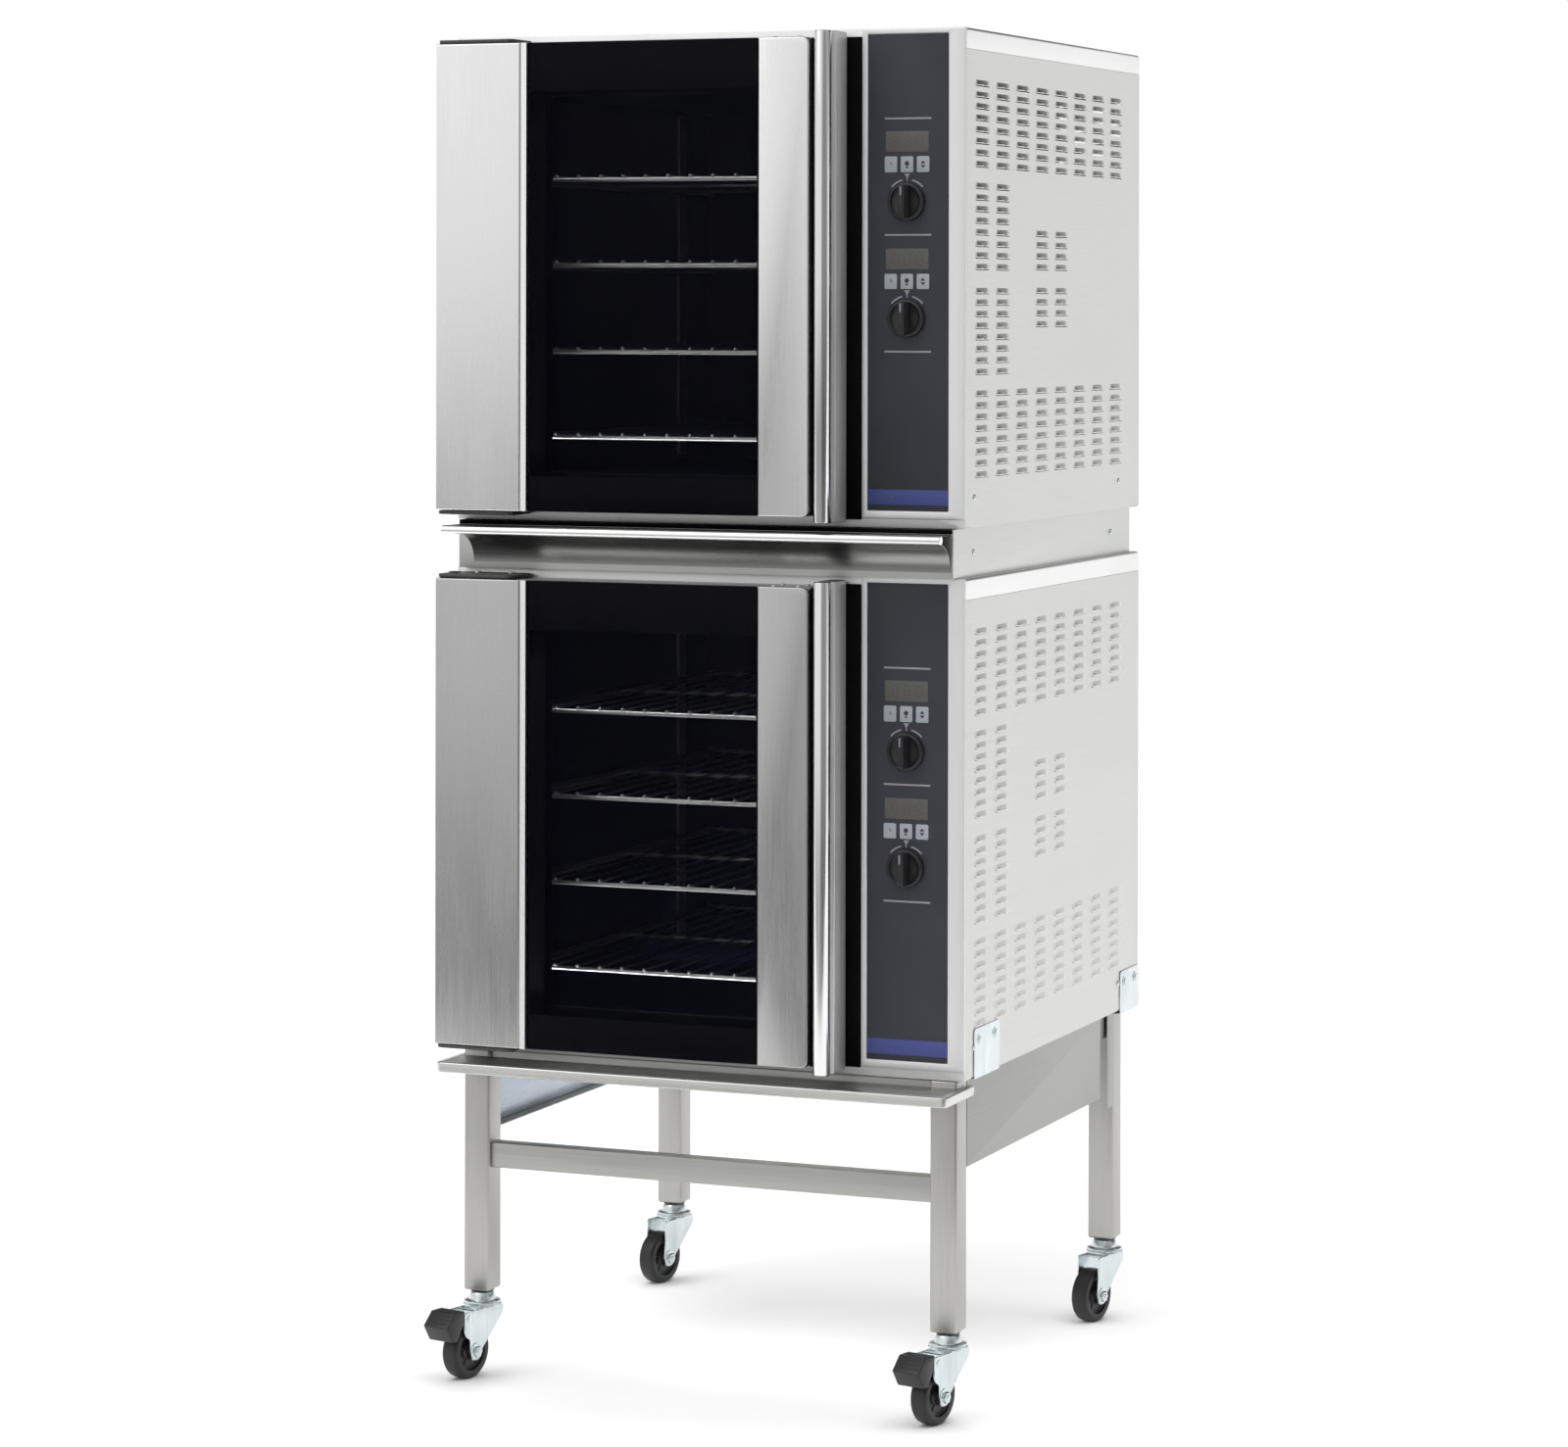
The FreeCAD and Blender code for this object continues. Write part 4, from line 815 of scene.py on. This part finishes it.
def makeBrackets():
    # folded plate on the casing's side, foot tucked under it, and two hexagon screws with washers
    half, top = casingValues["halfWidth"], standValues["top"]
    plates, screws = [], []
    for y, z in standValues["brackets"]:
        for side in (-1, 1):
            low, high = top + z[0], top + z[1]
            plates += [softPlate(mirrored(side, half, half + 1.5), y, (low, high), 6, 0.5, normal="x"),
                       softPlate(mirrored(side, half + 0.4, 357.2), y, (low, low + 1.5), 1, 0.4, normal="z")]
            for at in (y[0] + 18, y[1] - 18):
                place = (side * (half + 1.2), at, high - 16)
                screws += [turned([(0, 7.5), (0.8, 7.5), (1.1, 6.8), (1.1, 1)], place, (side, 0, 0), 24),
                           turned([(0.8, 5), (2.4, 5), (2.8, 4.2), (2.8, 0.4)], place, (side, 0, 0), 6)]
    for name, shapes, sharp in (("fixing_plates", plates, 35), ("fixing_screws", screws, 25)):
        addPiece(name, shapes, 0, stack, "zinc", "stand_steel", ("fixing_brackets",), sharp=sharp)


# Casters, shaped with x towards the wheel, y along the axle and z up from the floor.

casterValues = {"radius": 37.5, "trail": 36, "turn": -103, "halfTyre": 12.5, "pedalPivot": (50, 84)}


def underLeg(shapes, corner):
    # turns a caster's shapes to their trailing direction and sets them under the middle of a leg
    v, a = standValues, math.radians(casterValues["turn"])
    x = sum(v["legX"]) / 2 * (-1 if corner.endswith("left") else 1)
    y = (v["frontY"] if corner.startswith("front") else v["rearY"]) + v["legSize"] / 2
    spin = np.array([[math.cos(a), math.sin(a), 0], [-math.sin(a), math.cos(a), 0], [0, 0, 1]])
    return [(points @ spin + [x, y, 0], faces) for points, faces in shapes]


def makeCaster(corner):
    v = casterValues
    braked, trail, r, half = corner.startswith("front"), v["trail"], v["radius"], v["halfTyre"]
    axle, upright, top = (0, 1, 0), (0, 0, 1), (0, 0, 92.5)

    def add(part, shapes, finish, slotName, node, **how):
        node = corner + node
        addPiece(corner + part, underLeg(shapes, corner), 0, node, finish, slotName, (node,), **how)

    ear = 60 if braked else 44
    beak = [(ear, 80), (58, 60), (48, 55), (trail + 12, 40)] if braked else [(ear, 80), (trail + 13, 40)]
    cheek = roundedPolygon([(-23, 92.6), (ear, 92.6)] + beak + [(trail + 8, 26), (trail - 8, 26), (trail - 13, 38),
                                                                (-23, 82)], 4)
    steel = [plate(cheek, (s * 17 - 1.25, s * 17 + 1.25), 0.5) for s in (-1, 1)]
    steel += [softPlate((-24, 34), (-18.2, 18.2), (90.2, 93), 6, 1, normal="z"),
              turned([(0, 25.5), (1.4, 26.5), (3.4, 26.2), (4.2, 24.4), (4.8, 24.4), (5.6, 25.4), (7.6, 24.8),
                      (8.6, 22), (9, 18.5), (16.5, 17), (18.5, 15.5), (18.5, 6)], top, upright, 56),
              turned([(0, 7.2), (4, 7.2), (4.6, 6.4), (4.6, 0.5)], (0, 0, 90.4), (0, 0, -1), 6),
              turned([(0, 6), (56, 6)], top, upright, 24)]
    for s in (-1, 1):
        place = (trail, s * 18.2, r)
        steel += [turned([(0, 11.5), (0.9, 11.5), (1.3, 10.6), (1.3, 2)], place, (0, s, 0), 32),
                  turned([(1.2, 8), (5, 8), (5.6, 7), (5.6, 3.6), (6, 3.6), (6.4, 3), (6.4, 0.4)], place,
                         (0, s, 0), 6)]
    steel.append(turned([(-22.5, 3.9), (22.5, 3.9)], (trail, 0, r), axle, 20))
    if braked:
        pin = np.array([(-19.6, 0.5), (-19.6, 4.4), (-18.2, 5), (-18.2, 3)])
        steel.append(turned(np.concatenate([pin, (pin * [-1, 1])[::-1]]), np.insert(v["pedalPivot"], 1, 0), axle, 24))
    add("_swivel_fork", steel, "zinc", "caster_zinc", "_caster_fork", sharp=32)
    lift = np.radians(np.linspace(0, 90, 6))
    shoulder = np.stack([half - 5.5 * (1 - np.sin(lift)), r - 5.5 * (1 - np.cos(lift))], axis=-1)
    outer = np.concatenate([[(7.6, 25.2), (half - 2.2, 25.2), (half - 0.4, 26.4), (half, 28.2)], shoulder[::-1]])
    tyre = np.concatenate([outer, [(0, r)], (outer * [-1, 1])[::-1]])
    add("_tyre", [turned(tyre, (trail, 0, r), axle, 72)], "rubber", "wheel_rubber", "_caster_wheel")
    face = np.array([(14, 4.1), (14, 8.6), (13.2, 10.2), (9.2, 11.2), (7.4, 13.5), (7.2, 20.5), (8.6, 22.6),
                     (9.6, 24.6), (8.8, 25.6)])
    hub = turned(np.concatenate([face, (face * [-1, 1])[::-1]]), (trail, 0, r), axle, 56)
    spokes = [turnedSpoke(trail, r, s, n) for s in (-1, 1) for n in range(5)]
    add("_wheel_hub", [hub] + spokes, "hub", "wheel_rubber", "_caster_wheel")
    if braked:
        add("_pedal_tread", pedalShapes(), "pedal", "black_plastic", "_brake_pedal")


def turnedSpoke(trail, r, side, number):
    # a low rib from hub to rim, turned about the axle by its share of a circle
    points, faces = roundedBox((-1.6, 6.6, 10.5), (1.6, 9, 23), 0.7, 1)
    a = math.radians(72 * number)
    spin = np.array([[math.cos(a), 0, math.sin(a)], [0, 1, 0], [-math.sin(a), 0, math.cos(a)]])
    return (points * [1, side, 1]) @ spin + [trail, 0, r], faces


def pedalShapes():
    # arm between the cheeks, a tread that curves down over the wheel, and grip ribs across it
    arm = plate(roundedPolygon([(42, 79.5), (42, 88), (64, 91), (66, 80)], 2.5), (-14.4, 14.4), 0.8)
    tread = roundedPolygon([(63, 81), (63, 97), (84, 97), (101, 79), (88, 58), (78, 58), (72, 70)], 1.6, 4)
    ribs = [turned([(-17.5, 0.3), (-17, 1.1), (17, 1.1), (17.5, 0.3)], (x, 0, z), (0, 1, 0), 12)
            for x, z in ((69, 96.8), (74, 96.8), (79, 96.8), (87.5, 93.1), (92, 88.3), (96.4, 83.7))]
    return [arm, plate(tread, (-21, 21), 1.8)] + ribs


for oven in ovenBase:
    makeCasing(oven)
    makeControls(oven)
    makeDoor(oven)
    makeRackFronts(oven)
    makeCavityLamp(oven)
makeHinges()
makeSeals()
print("ovens dressed")
makeRiser()
makeStand()
for corner in ("front_left", "front_right", "rear_left", "rear_right"):
    makeCaster(corner)
print("riser, stand and casters dressed")


# Floor, light and camera.

stageValues = {"floorLow": (-14, -1.5), "floorHigh": (14, 16), "floorTone": 0.9,
               "ramps": {"front": (0.38, 0.92, -0.24, -0.01), "back": (0.5, 0.95, -0.3, 0),
                         "overhead": (1.15, 0.1, 0.15, 0.31), "turn": (0, 1, -0.4, 0.4),
                         "shade": (1, 0.32, 0.62, 0.9)},
               "overhead": 2.6, "fill": 3, "cavityPower": {"lower": 0.34, "upper": 0.18}}


def makeStage():
    low, high = stageValues["floorLow"], stageValues["floorHigh"]
    mesh = bpy.data.meshes.new("floor")
    mesh.from_pydata([(low[0], low[1], 0), (high[0], low[1], 0), (high[0], high[1], 0), (low[0], high[1], 0)], [],
                     [(0, 1, 2, 3)])
    material, tree, shader = newFinish("paleFloor")
    tone = stageValues["floorTone"]
    fillSockets(tree, shader, {"Base Color": (tone, tone, tone, 1), "Roughness": 0.75})
    mesh.materials.append(material)
    addObject("floor", mesh)


def makeWorld():
    # strength = front ramp or back ramp over height, less a darker studio side to the front right
    world = bpy.data.worlds.new("studio")
    bpy.context.scene.world = world
    world.use_nodes = True
    tree = world.node_tree
    background = next(n for n in tree.nodes if n.type == "BACKGROUND")
    output = next(n for n in tree.nodes if n.type == "OUTPUT_WORLD")
    split = tree.nodes.new("ShaderNodeSeparateXYZ")
    fillSockets(tree, split, {"Vector": addNode(tree, "ShaderNodeTexCoord", "Generated", {})})
    x, y, z = (split.outputs[n] for n in "XYZ")
    ramp = lambda name, value: spread(tree, value, *stageValues["ramps"][name])
    times = lambda first, second: combine(tree, "MULTIPLY", first, second)
    toBack = ramp("turn", y)
    back = times(times(ramp("back", z), ramp("overhead", z)), toBack)
    front = times(ramp("front", z), combine(tree, "SUBTRACT", 1, toBack))
    shade = ramp("shade", times(combine(tree, "SUBTRACT", x, y), 0.7071))
    white = {"Color": (1, 1, 1, 1)}
    fillSockets(tree, background, {**white, "Strength": times(combine(tree, "ADD", back, front), shade)})
    mix = {"Fac": addNode(tree, "ShaderNodeLightPath", "Is Camera Ray", {}), 1: background.outputs["Background"],
           2: addNode(tree, "ShaderNodeBackground", "Background", white)}
    fillSockets(tree, output, {"Surface": addNode(tree, "ShaderNodeMixShader", "Shader", mix)})


def addLight(name, kind, power, inGloss=True, **settings):
    data = bpy.data.lights.new(name, kind)
    data.energy = power
    for key, value in settings.items():
        setattr(data, key, value)
    light = addObject(name, data)
    light.visible_glossy = inGloss
    return light


def areaLight(name, place, target, size, power, inGloss=True):
    light = addLight(name, "AREA", power, inGloss, shape="RECTANGLE", size=size[0], size_y=size[1])
    light.location = place
    light.rotation_mode = "QUATERNION"
    light.rotation_quaternion = (Vector(target) - Vector(place)).to_track_quat("-Z", "Y")
    light.visible_camera = False


cameraValues = {"place": (2.3968, -5.9337, 1.4594), "turn": 22.168, "tilt": 0.107, "roll": -0.094,
                "lens": 104.814, "shiftY": -0.2736}


def makeCamera():
    data = bpy.data.cameras.new("camera")
    data.sensor_width = 36
    data.lens = cameraValues["lens"]
    data.shift_y = cameraValues["shiftY"]
    camera = addObject("camera", data)
    camera.location = cameraValues["place"]
    angles = 90 + cameraValues["tilt"], cameraValues["roll"], cameraValues["turn"]
    camera.rotation_euler = [math.radians(a) for a in angles]
    bpy.context.scene.camera = camera


makeStage()
makeWorld()
makeCamera()
areaLight("keyLight", (-2.8, -3.2, 4.8), (0, -0.3, 0.9), (3, 3), 40)
areaLight("sideLight", (4.5, 0.5, 2.8), (0.3, 0.3, 0.9), (2.5, 3), 25, inGloss=False)
areaLight("standFill", (0, 0, 0.40), (0, 0.33, 0), (0.66, 0.62), stageValues["fill"], inGloss=False)
# very soft light from straight above, which whitens the floor
addLight("overhead", "SUN", stageValues["overhead"], inGloss=False, angle=math.radians(70))
for oven, base in ovenBase.items():
    for at, aim in ((0.555, -0.5), (0.08, 0.5)):
        lamp = (middleX - 0.065, frontY + 0.006, base + at)
        target = (lamp[0], lamp[1] + 0.10, lamp[2] + aim)
        areaLight(oven + "Cavity", lamp, target, (0.40, 0.01), stageValues["cavityPower"][oven])
bpy.context.scene.view_settings.view_transform = "Standard"
print("floor, lights and camera set")
